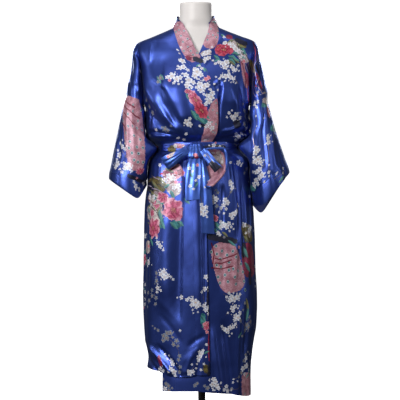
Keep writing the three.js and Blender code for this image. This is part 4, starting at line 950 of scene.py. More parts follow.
class Print:
    """Collects the decals of one sheet and lays them over its cells."""

    def __init__(self, sheet, pick_mask=None):
        self.sh = sheet
        R, C = sheet.P.shape[:2]
        self.uv = sheet.uv
        self.pick = picker(sheet.P, sheet.N, self.uv, pick_mask)
        j2 = (np.arange(sheet.has.shape[1]) + 1) % C
        uv = self.uv
        a, b = uv[:-1, :sheet.has.shape[1]], uv[:-1][:, j2]
        d, c = uv[1:, :sheet.has.shape[1]], uv[1:][:, j2]
        self.cell = np.stack([a, b, c, d], 2)      # (R-1, W, 4, 2)
        if sheet.wrap:
            f = self.cell[..., 0]
            far = (f.max(2) - f.min(2)) > sheet.span * 0.5
            self.cell[far, :, 0] = np.where(f[far] < sheet.span * 0.5, f[far] + sheet.span, f[far])
        self.mid = self.cell.mean(2)
        self.size = max(2.0, float(np.median(np.linalg.norm(self.cell[:, :, 0] - self.cell[:, :, 2], axis=-1))))
        self.layer = {k: np.full(self.cell.shape[:2] + (4, 3), 9.0, np.float32) for k, _ in LAYERS}
        self.taken = {k: np.zeros(self.cell.shape[:2], bool) for k, _ in LAYERS}
        self.field = {k: np.full((R, C), -30.0) for k in FIELDS}
        self.pxy = to_pixel(sheet.P)

    def lay(self, kind, c, ax, hl, hw, ident, ext=0.0):
        """A decal centred at c, its long axis along ax, half length hl and half width hw (mm)."""
        ax = np.asarray(ax, float) / max(1e-9, np.hypot(*ax))
        reach = max(hl, hw) * 1.02 + self.size
        mid = self.mid
        near = (np.abs(mid[..., 0] - c[0]) < reach) & (np.abs(mid[..., 1] - c[1]) < reach) & self.sh.has
        if not near.any():
            return
        q = self.cell[near] - np.asarray(c)
        a = (q[..., 0] * ax[0] + q[..., 1] * ax[1]) / (hl + ext)
        b = (-q[..., 0] * ax[1] + q[..., 1] * ax[0]) / hw
        m = q.mean(1)
        ma, mb = np.abs(m[:, 0] * ax[0] + m[:, 1] * ax[1]), np.abs(-m[:, 0] * ax[1] + m[:, 1] * ax[0])
        half = self.size * 0.5
        hit = (ma < hl + half) & (mb < hw + half)
        names = [k for k, kk in LAYERS if kk == kind]
        idx = np.nonzero(near)
        idx = (idx[0][hit], idx[1][hit])
        val = np.stack([a[hit], b[hit], np.full(a[hit].shape, ident)], -1)
        for k in names:
            if not self.taken[k][idx].any():
                self.layer[k][idx] = val
                self.taken[k][idx] = True
                return
        k = names[-1]
        free = ~self.taken[k][idx]
        self.layer[k][idx[0][free], idx[1][free]] = val[free]
        self.taken[k][idx[0][free], idx[1][free]] = True

    def bloom(self, x, y, r, kind=0, rot=None):
        c = self.pick(x, y, max(1.2, r + 0.5))
        if c is None:
            return
        rot = (x * 0.37 + y * 0.73) % 1.0 if rot is None else rot
        self.lay('bloom', c, (1, 0), r * PX * 1.18, r * PX * 1.18, kind + 0.999 * rot)

    def rose(self, x, y, r, kind=0, squash=1.0, ang=0.0):
        c = self.pick(x, y, max(2.2, 0.9 * r))
        if c is not None:
            self.lay('rose', c, (math.cos(ang), math.sin(ang)), r * PX * 1.08, r * PX * 1.08 * squash, kind + (x * 0.31 + y * 0.17) % 0.99)

    def eye(self, x, y, r=1.25):
        c = self.pick(x, y)
        if c is not None:
            self.lay('eye', c, (1, 0), r * PX, r * PX * 1.15, 0.5)

    def leaf(self, x0, y0, x1, y1, w, kind=0):
        a, b = self.pick(x0, y0, 5.0), self.pick(x1, y1, 5.0)
        if a is None or b is None:
            return
        self.lay('leaf', (a + b) / 2, b - a, max(2.0, np.hypot(*(b - a)) / 2), w * PX / 2, kind + 0.5)

    def line(self, pts, w=0.5, kind=0):
        for (x0, y0), (x1, y1) in zip(pts[:-1], pts[1:]):
            a, b = self.pick(x0, y0), self.pick(x1, y1)
            if a is None or b is None:
                continue
            self.lay('line', (a + b) / 2, b - a, max(1.0, np.hypot(*(b - a)) / 2) * 1.06, w * PX / 2, kind + 0.5, self.size * 0.8 if w > 0.75 else 0.0)

    def area(self, key, poly):
        f = poly_field(self.pxy[0], self.pxy[1], poly) * PX
        if self.sh.wrap:
            f = np.where(self.facing() > -0.08, f, -30.0)
        self.field[key] = np.maximum(self.field[key], f)

    def facing(self):
        v = CAM - self.sh.P
        v /= np.linalg.norm(v, axis=-1, keepdims=True)
        return (self.sh.N * v).sum(-1)

    def uv_area(self, key, poly):
        f = poly_field(self.uv[..., 0], self.uv[..., 1], poly)
        self.field[key] = np.maximum(self.field[key], f)

    # placed in cloth coordinates (mm), for the sides and back
    def spray(self, u, v, ang, n, seed, big=10.0, twig=True):
        rng = np.random.RandomState(seed)
        L = 13.0 * n
        d = np.array([math.cos(ang), math.sin(ang)])
        nrm = np.array([-d[1], d[0]])
        bend = rng.uniform(-0.25, 0.25)
        pts = [np.array([u, v]) + d * L * t + nrm * L * bend * (t * t) for t in np.linspace(0, 1, 6)]
        if twig:
            for a, b in zip(pts[:-1], pts[1:]):
                self.lay('line', (a + b) / 2, b - a, np.hypot(*(b - a)) / 2 * 1.06, 0.9, 0.5)
        for i in range(n):
            t = (i + rng.uniform(0.1, 0.9)) / n
            p = np.array([u, v]) + d * L * t + nrm * (L * bend * t * t + rng.uniform(-15, 15))
            r = big * rng.uniform(0.55, 1.15) * (1.0 - 0.35 * t)
            self.lay('bloom', p, (1, 0), r, r, (1 if rng.rand() < 0.12 else 0) + 0.999 * rng.rand())
            if rng.rand() < 0.6:
                q = p + rng.uniform(-17, 17, 2)
                self.lay('bloom', q, (1, 0), r * 0.4, r * 0.4, 0.999 * rng.rand())
        for i in range(max(1, n // 3)):
            t = rng.uniform(0, 0.6)
            p = np.array([u, v]) + d * L * t + nrm * rng.uniform(-18, 18)
            a = ang + rng.uniform(-1.2, 1.2)
            self.lay('leaf', p, (math.cos(a), math.sin(a)), 12 * rng.uniform(0.8, 1.3), 4.5 * rng.uniform(0.8, 1.2), (1 if rng.rand() < 0.25 else 0) + 0.5)

    def peony(self, u, v, r, seed):
        rng = np.random.RandomState(seed)
        for k in range(5):
            a = rng.uniform(0, 6.28)
            p = np.array([u, v]) + np.array([math.cos(a), math.sin(a)]) * r * 1.15
            self.lay('leaf', p, (math.cos(a + 0.3), math.sin(a + 0.3)), r * 0.62, r * 0.26, 0.5)
        self.lay('rose', (u, v), (1, 0), r, r * 0.92, (1 if rng.rand() < 0.35 else 0) + 0.9 * rng.rand())

    def eyes_in(self, key, pitch, seed, region=None):
        """Rows of eyes inside a field, in cloth coordinates."""
        rng = np.random.RandomState(seed)
        f = self.field[key]
        uv = self.uv
        lo, hi = uv.reshape(-1, 2).min(0), uv.reshape(-1, 2).max(0)
        flat_uv, flat_f = uv.reshape(-1, 2), f.ravel()
        inside = flat_f > 3
        if region is not None:
            inside &= region.ravel()
        if not inside.any():
            return
        pts = flat_uv[inside]
        lo, hi = pts.min(0), pts.max(0)
        row = 0
        vv = lo[1]
        while vv < hi[1]:
            uu = lo[0] + (row % 2) * pitch * 0.5
            while uu < hi[0]:
                p = np.array([uu, vv]) + rng.uniform(-0.14, 0.14, 2) * pitch
                d = np.abs(pts - p).max(1)
                if d.min() < 4:
                    self.lay('eye', p, (1, 0), 4.2, 4.9, 0.5)
                uu += pitch
            vv += pitch * 0.86
            row += 1

    def done(self):
        self.sh.layers.update(self.layer)
        self.sh.layers.update(self.field)

def picker(P, N, uv, mask=None):
    """Cloth coordinates under a pixel: nearest grid point that faces the camera."""
    px, py = to_pixel(P)
    v = CAM - P
    v /= np.linalg.norm(v, axis=-1, keepdims=True)
    ok = (N * v).sum(-1) > 0.05
    if mask is not None:
        ok &= mask
    X, Y, U = px[ok], py[ok], uv[ok]

    def pick(x, y, limit=2.2):
        d = (X - x) ** 2 + (Y - y) ** 2
        if len(d) < 30:
            return None
        idx = np.argpartition(d, 24)[:24]
        near = d[idx].min()
        if near > limit ** 2:
            return None
        w = 1 / (d[idx] + 0.3)
        mid = (U[idx] * w[:, None]).sum(0) / w.sum()
        if near < 0.8:
            k4 = idx[np.argsort(d[idx])[:4]]
            w4 = 1 / (d[k4] + 1e-4)
            return (U[k4] * w4[:, None]).sum(0) / w4.sum()
        cx_, cy_ = (X[idx] * w).sum() / w.sum(), (Y[idx] * w).sum() / w.sum()
        A = np.stack([X[idx] - cx_, Y[idx] - cy_], 1)
        W_ = w[:, None]
        M_ = A.T @ (A * W_) + np.eye(2) * 1e-3
        B_ = np.linalg.solve(M_, A.T @ ((U[idx] - mid) * W_))
        step_ = np.array([x - cx_, y - cy_]) @ B_
        if np.hypot(*step_) > 14.0 * np.hypot(x - cx_, y - cy_):
            return None
        return mid + step_
    return pick


# =====================================================================  the robe's panels
KINDS = {
    'left': (-1, 1, lambda z: bearing_of(z, read(EDGE_TOP, 'seam', z)), True, 'top'),
    'right': (1, 1, lambda z: bearing_of(z, read(EDGE_UNDER, 'seam', z)), False, 'under'),
    'backL': (-1, -1, lambda z: np.zeros(np.shape(z)), False, 'back'),
    'backR': (1, -1, lambda z: np.zeros(np.shape(z)), False, 'back'),
}
COLS = 64
fl, K = half_panel(*KINDS['left'], COLS, HEM_TOP)
fr, _ = half_panel(*KINDS['right'], COLS, HEM_UNDER)
bl, _ = half_panel(*KINDS['backL'], COLS, HEM_BACK)
br, _ = half_panel(*KINDS['backR'], COLS, HEM_BACK)
R = fl.shape[0]
W = COLS + CAPS + 1
back = np.concatenate([bl[:, ::-1], br[:, 1:]], 1)
MIDB = COLS + CAPS
fhas = np.zeros((R - 1, W - 1), bool)
fhas[:, :COLS] = True
fhas[:K, :] = True
bhas = np.concatenate([fhas[:, ::-1], fhas], 1)


CAP_R = [
    ([(136, 50), (137, 60), (137.6, 74), (138, 88), (138.4, 97)], 5.5, 4, 3.5, 1.8, (0.15, 0.1)),
    ([(132, 58), (131.5, 72), (131, 88)], -3.5, 5, 4, 2.0, (0.25, 0.2)),
    ([(141, 60), (142, 78), (143, 94)], -3.0, 4, 3, 2.0, (0.25, 0.2)),
    ([(128.5, 80), (128, 90), (127.5, 98)], 3.0, 4, 4, 2.0, (0.3, 0.1)),
]
CAP_L = [
    ([(254.5, 58), (255, 70), (256, 84), (257, 96)], 5.5, 4.5, 4, 1.8, (0.2, 0.1)),
    ([(260, 60), (261, 75), (262, 90), (263, 98)], -4.5, 4, 4, 2.0, (0.2, 0.1)),
    ([(250.5, 62), (251, 78), (251.5, 94)], -3.5, 3.5, 4, 2.0, (0.25, 0.2)),
    ([(266, 78), (267, 90), (268, 99)], 3.0, 4, 4, 2.0, (0.3, 0.1)),
]


def cap_relief(P, has, cols, side, folds, seed):
    """Soft folds on the dropped shoulder, fading at its crease, outer fold and seams."""
    n = grid_normals(P, has, False, 1)
    flip = (n[..., :2] * P[..., :2]).sum()
    n = n * (1.0 if flip > 0 else -1.0)
    u = np.concatenate([np.zeros((P.shape[0], 1)), np.cumsum(np.linalg.norm(np.diff(P, axis=1), axis=2), 1)], 1)
    v = P[..., 2].copy()
    live = np.zeros(P.shape[:2], bool)
    live[:K + 1] = True
    pick = picker(P, n, np.stack([u, v], -1), live)
    d = 0.0
    for pts, amp, w, w2, sharp, ends_ in folds:
        line = [pick(*p, limit=5) for p in pts]
        line = [q for q in line if q is not None]
        if len(line) > 1:
            d = d + line_field(u, v, line, amp, w, w2, sharp, ends_)
    d = d + 1.6 * noise3(P[..., 0] / 20, P[..., 1] / 20, P[..., 2] / 70, seed)
    j = np.arange(P.shape[1])
    t = np.clip((j - cols) / CAPS, 0, 1)[None]
    rows_k = np.clip((K - np.arange(P.shape[0])) / 10.0, 0, 1)[:, None]
    d = d * smooth(0.0, 0.16, t) * smooth(0.0, 0.12, 1 - t) * smooth(0, 1, rows_k) * smooth(1372, 1335, P[..., 2]) * (j > cols)[None]
    return P + n * d[..., None]


fl = cap_relief(fl, fhas, COLS, -1, CAP_R, 61)
fr = cap_relief(fr, fhas, COLS, 1, CAP_L, 62)
nl, nr, nb = grid_normals(fl, fhas, False, 1), grid_normals(fr, fhas, False, 1), grid_normals(back, bhas, False, 1)


def outward(n, P):
    flip = (n[..., :2] * P[..., :2]).sum(-1)
    s = 1.0 if flip.sum() > 0 else -1.0
    return n * s


nl, nr, nb = outward(nl, fl), outward(nr, fr), outward(nb, back)
ends = np.where(np.arange(R) <= K, COLS + CAPS, COLS)
for i in range(R):
    for F, n, sg in ((fl, nl, -1), (fr, nr, 1)):
        jf, jb = ends[i], MIDB + sg * ends[i]
        m = np.array([n[i, jf, 0] + nb[i, jb, 0], 0, n[i, jf, 2] + nb[i, jb, 2]])
        m /= max(1e-9, np.linalg.norm(m))
        mid = (F[i, jf] + back[i, jb]) / 2
        F[i, jf], back[i, jb] = mid + [0, -0.1, 0], mid + [0, 0.1, 0]
        n[i, jf] = m
        nb[i, jb] = m


def panel_uv(P, first, has):
    """Cloth coordinates of a panel: lengths along its rows from `first`, and down its columns from the belt."""
    Rr, Cc = P.shape[:2]
    u = np.zeros((Rr, Cc))
    seg = np.linalg.norm(np.diff(P, axis=1), axis=2)
    seg[K + 1:, :][:, ~has[K + 1]] = 0
    u[:, 1:] = np.cumsum(seg, 1)
    u += first[:, None]
    dv = np.linalg.norm(np.diff(P, axis=0), axis=2)
    live = np.zeros((Rr, Cc), bool)
    live[:-1, :-1] |= has
    live[1:, :-1] |= has
    live[:-1, 1:] |= has
    live[1:, 1:] |= has
    dz = np.abs(np.diff(P[..., 2], axis=0))
    dv = np.where(live[1:] & live[:-1], np.minimum(dv, 3 * np.maximum(dz, 1)), 0)
    v = np.zeros((Rr, Cc))
    v[1:] = -np.cumsum(dv, 0)
    ref = int(np.argmin(np.abs(P[:, 0, 2] - BELT_Z)))
    v += (BELT_Z - v[ref])[None]
    return np.stack([u, v], -1)


z0 = fl[:, 0, 2]
uvl = panel_uv(fl, arc(z0, bearing_of(z0, read(EDGE_TOP, 'seam', z0))), fhas)
uvl[..., 0] = 2 * uvl[:, :1, 0] - uvl[..., 0]            # runs to the left
z0 = fr[:, 0, 2]
uvr = panel_uv(fr, arc(z0, bearing_of(z0, read(EDGE_UNDER, 'seam', z0))), fhas)
uvb = panel_uv(back, np.zeros(R), bhas)
uvb[..., 0] -= uvb[:, MIDB:MIDB + 1, 0]

S = {}
S['front_right_lapped'] = Sheet('front_right_lapped_cloth', fl, fhas, uv=uvl, normals=nl)
S['front_left_under'] = Sheet('front_left_under_cloth', fr, fhas, uv=uvr, normals=nr)
S['back'] = Sheet('back_cloth', back, bhas, uv=uvb, normals=nb)

# =====================================================================  bands and collar
ACROSS = 10


def band(side, F, nF, edge, lap, kind, name):
    neck = np.concatenate([back[0, MIDB::side][:COLS + CAPS], F[0, ::-1][:-1]])
    neckN = np.concatenate([nb[0, MIDB::side][:COLS + CAPS], nF[0, ::-1][:-1]])
    run = np.concatenate([[0], np.cumsum(np.linalg.norm(np.diff(neck, axis=0), axis=1))])
    total = run[-1] + np.linalg.norm(F[0, 0] - neck[-1])
    t = run / total
    # thin the dense neckline
    keep = np.unique(np.concatenate([np.arange(0, len(neck), 2), [0]]))
    neck, neckN, t = neck[keep], neckN[keep], t[keep]
    neck = neck + [0, 0, 1.0]
    neck[0, 0] += side * 0.1
    free = np.stack([side * read(NECK, 'across', t), read(NECK, 'back', t), read(NECK, 'z', t)], 1)
    free[0, 0] += side * 0.1
    zs = F[:, 0, 2]
    zf = read(edge, 'freeZ', zs)
    zf = np.where(np.arange(R) >= R - 1, zs, zf)
    low = smooth(420, 300, zs)
    zf = mix(zf, zs, np.clip(low, 0, 1))
    x = read(edge, 'free', zs)
    zz = np.minimum(zf, 1432)
    zc = np.minimum(zz, 1412)
    b = bearing_of(zc, x)
    fe = robe(zc, b, lap_at(zz, b) if lap else 0.0, disp=body_disp(kind, zc, b))
    fe[:, 2] = zz
    n1 = np.array([side * 43.0, -47.0, 1427.0])
    w = smooth(1400, 1415, zs)[:, None]
    fe = mix(fe, np.where(w > 0, mix(fe, n1, w), fe), 1.0)
    seam = F[:, 0] + np.stack([np.full(R, -side * 0.2), np.zeros(R), 1.0 * smooth(1395, 1415, zs)], 1)
    seams, frees = np.concatenate([neck, seam]), np.concatenate([free, fe])
    nn = len(neck)
    T = np.linspace(0, 1, ACROSS + 1)
    P = seams[:, None] * (1 - T)[None, :, None] + frees[:, None] * T[None, :, None]
    # keep it on the robe's surface down the front
    q = P[nn + 1:]
    zc = np.minimum(q[..., 2], 1412)
    b = bearing_of(zc, q[..., 0])
    r = robe(zc, b, lap_at(zc, b) if lap else 0.0, disp=body_disp(kind, zc, b))
    blend = smooth(1412, 1385, q[..., 2])[..., None]
    q2 = np.stack([q[..., 0], mix(q[..., 1], r[..., 1], blend[..., 0]), q[..., 2]], -1)
    P[nn + 1:] = q2
    # curve of the standing collar, and the folded edge's roundness
    N0 = outward(grid_normals(P, np.ones((P.shape[0] - 1, ACROSS), bool), False, 1), P)
    puff = (1 - np.abs(2 * T - 1) ** 3) * 1.1
    # soft unevenness across the band
    d = puff[None] + 0.5 * noise3(P[..., 0] / 24, P[..., 1] / 24, P[..., 2] / 46, 71) * (1 - np.abs(2 * T - 1) ** 4)[None]
    P = P + N0 * d[..., None]
    P[:, -1] += N0[:, -1] * 0.1
    uu = np.linalg.norm(np.diff(P, axis=1), axis=2)
    across = np.concatenate([np.zeros((len(P), 1)), np.cumsum(uu, 1)], 1)
    down = np.concatenate([[0], np.cumsum(np.linalg.norm(np.diff((P[:, 0] + P[:, -1]) / 2, axis=0), axis=1))])
    uv = np.stack([across, np.repeat(-down[:, None], ACROSS + 1, 1)], -1)
    N1 = outward(grid_normals(P, np.ones((P.shape[0] - 1, ACROSS), bool), False, 1), P)
    return Sheet(name, P, uv=uv, thick=1.4, normals=N1)


S['band_right_lapped'] = band(-1, fl, nl, EDGE_TOP, True, 'top', 'band_right_lapped_cloth')
S['band_left_under'] = band(1, fr, nr, EDGE_UNDER, False, 'under', 'band_left_under_cloth')

# =====================================================================  sleeves and cuffs
CAP_TURN = ([1, 7 / 6, 8 / 6, 1.5, 10 / 6, 11 / 6, 2], [140, 108, 82, 60, 40, 20, 0])


def ring_at(side, cols, a, corner=None):
    ox, oz, ix, iz, front, behind, sagF, sagB = cols
    s, c = np.sin(np.radians(a)), (1 - np.cos(np.radians(a))) / 2
    f = s >= 0
    e = np.abs(s) ** 0.85
    y = -np.where(f, front, -behind) * e
    drop = np.abs(s) ** 0.8 * (0.7 + 0.45 * c)
    if corner is not None:                     # a straight-cut mouth that hangs from its two folds and turns at a corner
        cc = np.clip(c, 1e-3, 1 - 1e-3)
        drop = ((cc / corner) ** -5.0 + ((1 - cc) / (1 - corner)) ** -5.0) ** -0.2 * 1.12
    return np.stack([side * mix(ox, ix, c), y, mix(oz, iz, c) - np.where(f, sagF, sagB) * drop], -1)


def curve_rows(rows, v):
    """Rows of numbers read at fractional row numbers."""
    rows = np.asarray(rows, float)
    k = np.arange(len(rows), dtype=float)
    out = [read((['k', 'v'], np.stack([k, rows[:, j]], 1)), 'v', v) for j in range(rows.shape[1])]
    return np.stack(out, -1)


def sleeve(side, F, rows, cuff, name, folds, seed):
    # armhole ring: outer fold, front cap, crease, underarm, back crease, back cap
    uF = np.linspace(2, 1, CAPS + 1)
    n_mid = MIDROWS
    ring = [F[K, COLS + CAPS - j] for j in range(CAPS + 1)] + [F[K + i, COLS] for i in range(1, n_mid + 1)]
    ring += [back[K + i, MIDB + side * COLS] for i in range(n_mid - 1, 0, -1)] + [back[K, MIDB + side * (COLS + j)] for j in range(0, CAPS)]
    ring = np.array(ring)
    ang = list(np.interp(uF, CAP_TURN[0], CAP_TURN[1])) + list(140 + 40 * np.arange(1, n_mid + 1) / n_mid)
    ang += list(220 - 40 * np.arange(n_mid - 1, 0, -1) / n_mid)
    ang += list(360 - np.interp(1 + np.arange(0, CAPS) / CAPS, CAP_TURN[0], CAP_TURN[1]))
    ang = np.array(ang)
    c0 = ring.mean(0)
    ring = ring + [side * 0.1, 0, -0.3]
    n_rows = 66
    v = np.linspace(0, len(rows), n_rows + 1)
    tab = curve_rows(rows, np.maximum(v - 1, 0))
    P = np.array([ring_at(side, tab[i], ang) for i in range(len(v))])
    first = v < 1
    w = (v[first])[:, None, None]
    P[first] = ring[None] * (1 - w) + P[first] * w
    for _ in range(14):
        P[1:-1] = 0.5 * P[1:-1] + 0.25 * (P[:-2] + P[2:])
    # small drift so that the start stays on the seam
    seg = np.linalg.norm(P - np.roll(P, 1, 1), axis=2)
    span = float(seg.sum(1).mean())
    base_u = np.cumsum(seg[n_rows // 2])
    base_u -= base_u[0]
    span = float(seg[n_rows // 2].sum())
    down = np.concatenate([[0], np.cumsum(np.linalg.norm(np.diff(P, axis=0), axis=2).mean(1))])
    U = np.repeat(base_u[None], len(v), 0)
    V = -np.repeat(down[:, None], P.shape[1], 1)
    uv = np.stack([U, V], -1)
    full = np.ones((len(v) - 1, P.shape[1]), bool)

    def out_n(Q):
        n = grid_normals(Q, full[:len(Q) - 1], True, 1)
        c = Q.mean(1, keepdims=True)
        return n * (1.0 if (n * (Q - c)).sum() > 0 else -1.0)

    N = out_n(P)
    pick = picker(P, N, uv)
    d = np.zeros(P.shape[:2])
    for pts, amp, wd, *rest in folds:
        if pts[0] == 's':
            line = pts[1]
        else:
            line = [pick(*p, limit=6) for p in pts]
            line = [q for q in line if q is not None]
            if len(line) < 2:
                continue
        w2 = rest[0] if rest else None
        ends_ = rest[2] if len(rest) > 2 else (0.2, 0.2)
        d += line_field(U, V, line, amp, wd, w2, rest[1] if len(rest) > 1 else 2.0, ends_)
    tt = np.linspace(0, 1, len(v))[:, None]
    d += (1.4 * noise3(P[..., 0] / 34, P[..., 1] / 34, P[..., 2] / 110, seed) + 0.5 * noise3(P[..., 0] / 18, P[..., 1] / 18, P[..., 2] / 55, seed + 1))
    d *= smooth(0, 0.10, tt)
    P = P + N * d[..., None]
    # the sleeve stays outside the body
    bz = np.clip(P[..., 2], 150, 1147)
    lim = read(BODY, 'wl' if side < 0 else 'wr', bz) + 2.0 + side_puff(bz)
    P[..., 0] = np.where(side * P[..., 0] < lim, side * lim, P[..., 0])
    cloth = np.concatenate([back.reshape(-1, 3), F.reshape(-1, 3)])
    cloth = cloth[(side * cloth[:, 0] > 60) & (np.abs(cloth[:, 1]) < 70)]
    hz = np.arange(890.0, 1166.0, 6.0)
    hw_ = np.array([(side * cloth[np.abs(cloth[:, 2] - q) < 6, 0]).max() for q in hz])
    hw_ = np.where(np.abs(hz - 1010) < 15, np.maximum(hw_, read(BODY, 'wl' if side < 0 else 'wr', hz) + 5.5), hw_)
    gap = np.clip(side * P[..., 0] - np.interp(P[..., 2], hz, hw_) - 1.0, 0, 34)
    close = smooth(-0.1, 0.4, -side * N[..., 0]) * smooth(925, 958, P[..., 2]) * (1 - smooth(1142, 1158, P[..., 2])) * (1 - smooth(28, 34, gap)) * smooth(0.02, 0.12, tt)
    P[..., 0] -= side * gap * close * (1 - smooth(50, 86, np.abs(P[..., 1])))
    # the back of the sleeve tucks in behind the waist
    tuck = smooth(18, 42, P[..., 1]) * (1 - smooth(84, 99, P[..., 1])) * smooth(-0.25, 0.25, -side * N[..., 0]) * np.exp(-((P[..., 2] - 1009) / 25.0) ** 2)
    P[..., 0] -= side * 21 * tuck
    for _ in range(3):
        P[2:-1] = 0.6 * P[2:-1] + 0.2 * (P[1:-2] + P[3:])
    N = out_n(P)
    sl = Sheet(name, P, wrap=True, uv=uv, normals=N)
    sl.span = span
    # cuff: a folded band sewn to the sleeve's mouth
    cr = 20
    vv = np.linspace(0, len(cuff), cr + 1)
    tabc = curve_rows(cuff, np.maximum(vv - 1, 0))
    Q = np.array([ring_at(side, tabc[i], ang) for i in range(len(vv))])
    Q2 = np.array([ring_at(side, tabc[i], ang, 0.80 if side < 0 else 0.74) for i in range(len(vv))])
    Q = mix(Q, Q2, smooth(0.6, len(cuff), vv)[:, None, None])
    base_last = ring_at(side, np.asarray(rows[-1], float), ang)
    delta = P[-1] - base_last
    wq = np.minimum(vv, 1)[:, None, None]
    Q = base_last[None] * (1 - wq) + Q * wq + delta[None] * (1 - 0.35 * (vv / len(cuff)))[:, None, None] + np.array([0, 0, -0.6])
    for _ in range(4):
        Q[1:-1] = 0.5 * Q[1:-1] + 0.25 * (Q[:-2] + Q[2:])
    fullc = np.ones((cr, Q.shape[1]), bool)
    Nq = grid_normals(Q, fullc, True, 1)
    Nq *= 1.0 if (Nq * (Q - Q.mean(1, keepdims=True))).sum() > 0 else -1.0
    tq = np.linspace(0, 1, cr + 1)
    puff = (1 - np.abs(2 * tq - 1) ** 3) * 1.3 + 0.4 * np.exp(-((tq - 0.03) / 0.05) ** 2)
    Q = Q + Nq * puff[:, None, None]
    bz = np.clip(Q[..., 2], 150, 1147)
    lim = read(BODY, 'wl' if side < 0 else 'wr', bz) + 2.5
    Q[..., 0] = np.where(side * Q[..., 0] < lim, side * lim, Q[..., 0])
    dq = np.concatenate([[0], np.cumsum(np.linalg.norm(np.diff(Q, axis=0), axis=2).mean(1))])
    uvq = np.stack([np.repeat(base_u[None], cr + 1, 0), -np.repeat(dq[:, None], Q.shape[1], 1)], -1)
    cf = Sheet(name.replace('sleeve', 'cuff'), Q, wrap=True, uv=uvq, thick=1.3, normals=Nq)
    cf.span = span
    return sl, cf


SLEEVE_FOLDS_R = [
    ([(140, 106), (142, 125), (143.5, 150), (145, 172)], 4.5, 5, 4, 1.9),
    ([(134, 101), (136, 120), (137.5, 145), (139, 168)], -4.0, 6, 5, 2.0),
    ([(128, 99), (127.5, 115), (127, 135), (127, 160)], 5.0, 7, 7, 2.0),
    ([(122, 112), (120.5, 130), (119, 150), (119, 165)], -3.5, 6, 6, 2.0),
    ([(118, 135), (116, 150), (115, 163)], 3.5, 5, 5, 2.0),
    ([(131, 150), (134, 160), (138, 172)], -3.0, 5, 5, 2.0),
]
SLEEVE_FOLDS_L = [
    ([(254, 99), (254.5, 120), (254.5, 145), (254.5, 172), (255, 186)], 7.5, 6, 6, 1.8),
    ([(263, 101), (264, 125), (264.5, 150), (265.5, 172)], -8.5, 7, 7, 2.0),
    ([(270, 112), (272, 135), (274.5, 158), (278, 178)], 5.5, 6, 6, 1.9),
    ([(276, 128), (279, 150), (284, 170)], -4.0, 5, 6, 2.0),
    ([(276, 164), (281, 170.5), (287, 178)], 3.5, 3, 3, 1.8),
    ([(270, 172), (276, 180), (282, 187)], -3.0, 4, 4, 2.0),
    ([(261.5, 180), (263, 190), (264.5, 202)], 4.5, 4, 4, 1.8),
    ([(250.5, 150), (250.5, 170), (251, 190)], -3.0, 3, 3, 2.0),
]
S['sleeve_right'], S['cuff_right'] = sleeve(-1, fl, SLEEVE_L, CUFF_L, 'sleeve_right_cloth', SLEEVE_FOLDS_R, 81)
S['sleeve_left'], S['cuff_left'] = sleeve(1, fr, SLEEVE_R, CUFF_R, 'sleeve_left_cloth', SLEEVE_FOLDS_L, 85)

# =====================================================================  belt and bow
def belt_out(b):
    return 4.4 + lap_at(1000.0, b) * (1 - smooth(18, 40, b))


def on_skirt(x, z, out, disp=True):
    b = bearing_of(z, x)
    kind_d = body_disp('top', z, b) if disp else 0.0
    p = robe(z, b, out + lap_at(z, b), disp=kind_d)
    return p[..., 1]


def flat_uv(P, wrap=False):
    across = np.concatenate([np.zeros((P.shape[0], 1)), np.cumsum(np.linalg.norm(np.diff(P, axis=1), axis=2), 1)], 1)
    across = np.repeat(across.mean(0)[None], P.shape[0], 0)
    down = np.concatenate([[0], np.cumsum(np.linalg.norm(np.diff(P, axis=0), axis=2).mean(1))])
    return np.stack([across, -np.repeat(down[:, None], P.shape[1], 1)], -1)


def ribbon(name, P, thick=0.9, flip=None, relief=None):
    n = grid_normals(P, np.ones((P.shape[0] - 1, P.shape[1] - 1), bool), False, 1)
    if flip is not None:
        ref = n[len(n) // 4, P.shape[1] // 2] if not isinstance(flip, tuple) else n[flip[0], flip[1]]
        if ref[1] > 0:
            n = -n
    if relief is not None:
        P = P + n * relief[..., None]
        n2 = grid_normals(P, np.ones((P.shape[0] - 1, P.shape[1] - 1), bool), False, 1)
        n = n2 * np.sign((n2 * n).sum())
    return Sheet(name, P, uv=flat_uv(P), thick=thick, normals=n)


# the sash round the waist: rounded across, a little uneven, one soft lengthwise crease wandering along it
bb = np.linspace(-180, 180, 181)[:-1]
vv = np.linspace(-0.5, 0.5, 17)
swell = np.interp(np.abs(vv), [0, 0.25, 0.42, 0.5], [1.5, 1.1, 0.2, -0.7])
B3, V3 = np.meshgrid(bb, vv)
rel = swell[:, None] + 0.8 * noise3(np.sin(np.radians(B3)) * 9, np.cos(np.radians(B3)) * 9, V3 * 5.5 + 7, 91) * (1 - np.abs(2 * V3) ** 6)
rel += -1.0 * np.exp(-((V3 - 0.12 - 0.14 * np.sin(np.radians(B3 * 1.3 + 40))) / 0.05) ** 2)
zz = BELT_Z - V3 * (BELT_H + 1.0) + 1.1 * np.sin(np.radians(2 * B3 + 20))
P = robe(zz, B3, belt_out(B3), disp=rel)
n = grid_normals(P, np.ones((16, 180), bool), True, 1)
n *= 1.0 if (n * (P * [1, 1, 0])).sum() > 0 else -1.0
S['belt_waist'] = Sheet('belt_waist_cloth', P, wrap=True, normals=n, thick=1.4)
seg = np.linalg.norm(P - np.roll(P, 1, 1), axis=2)[8]
ub = np.cumsum(seg) - seg[0]
S['belt_waist'].uv = np.stack([np.repeat(ub[None], 17, 0), -V3 * BELT_H], -1)
S['belt_waist'].span = float(seg.sum())

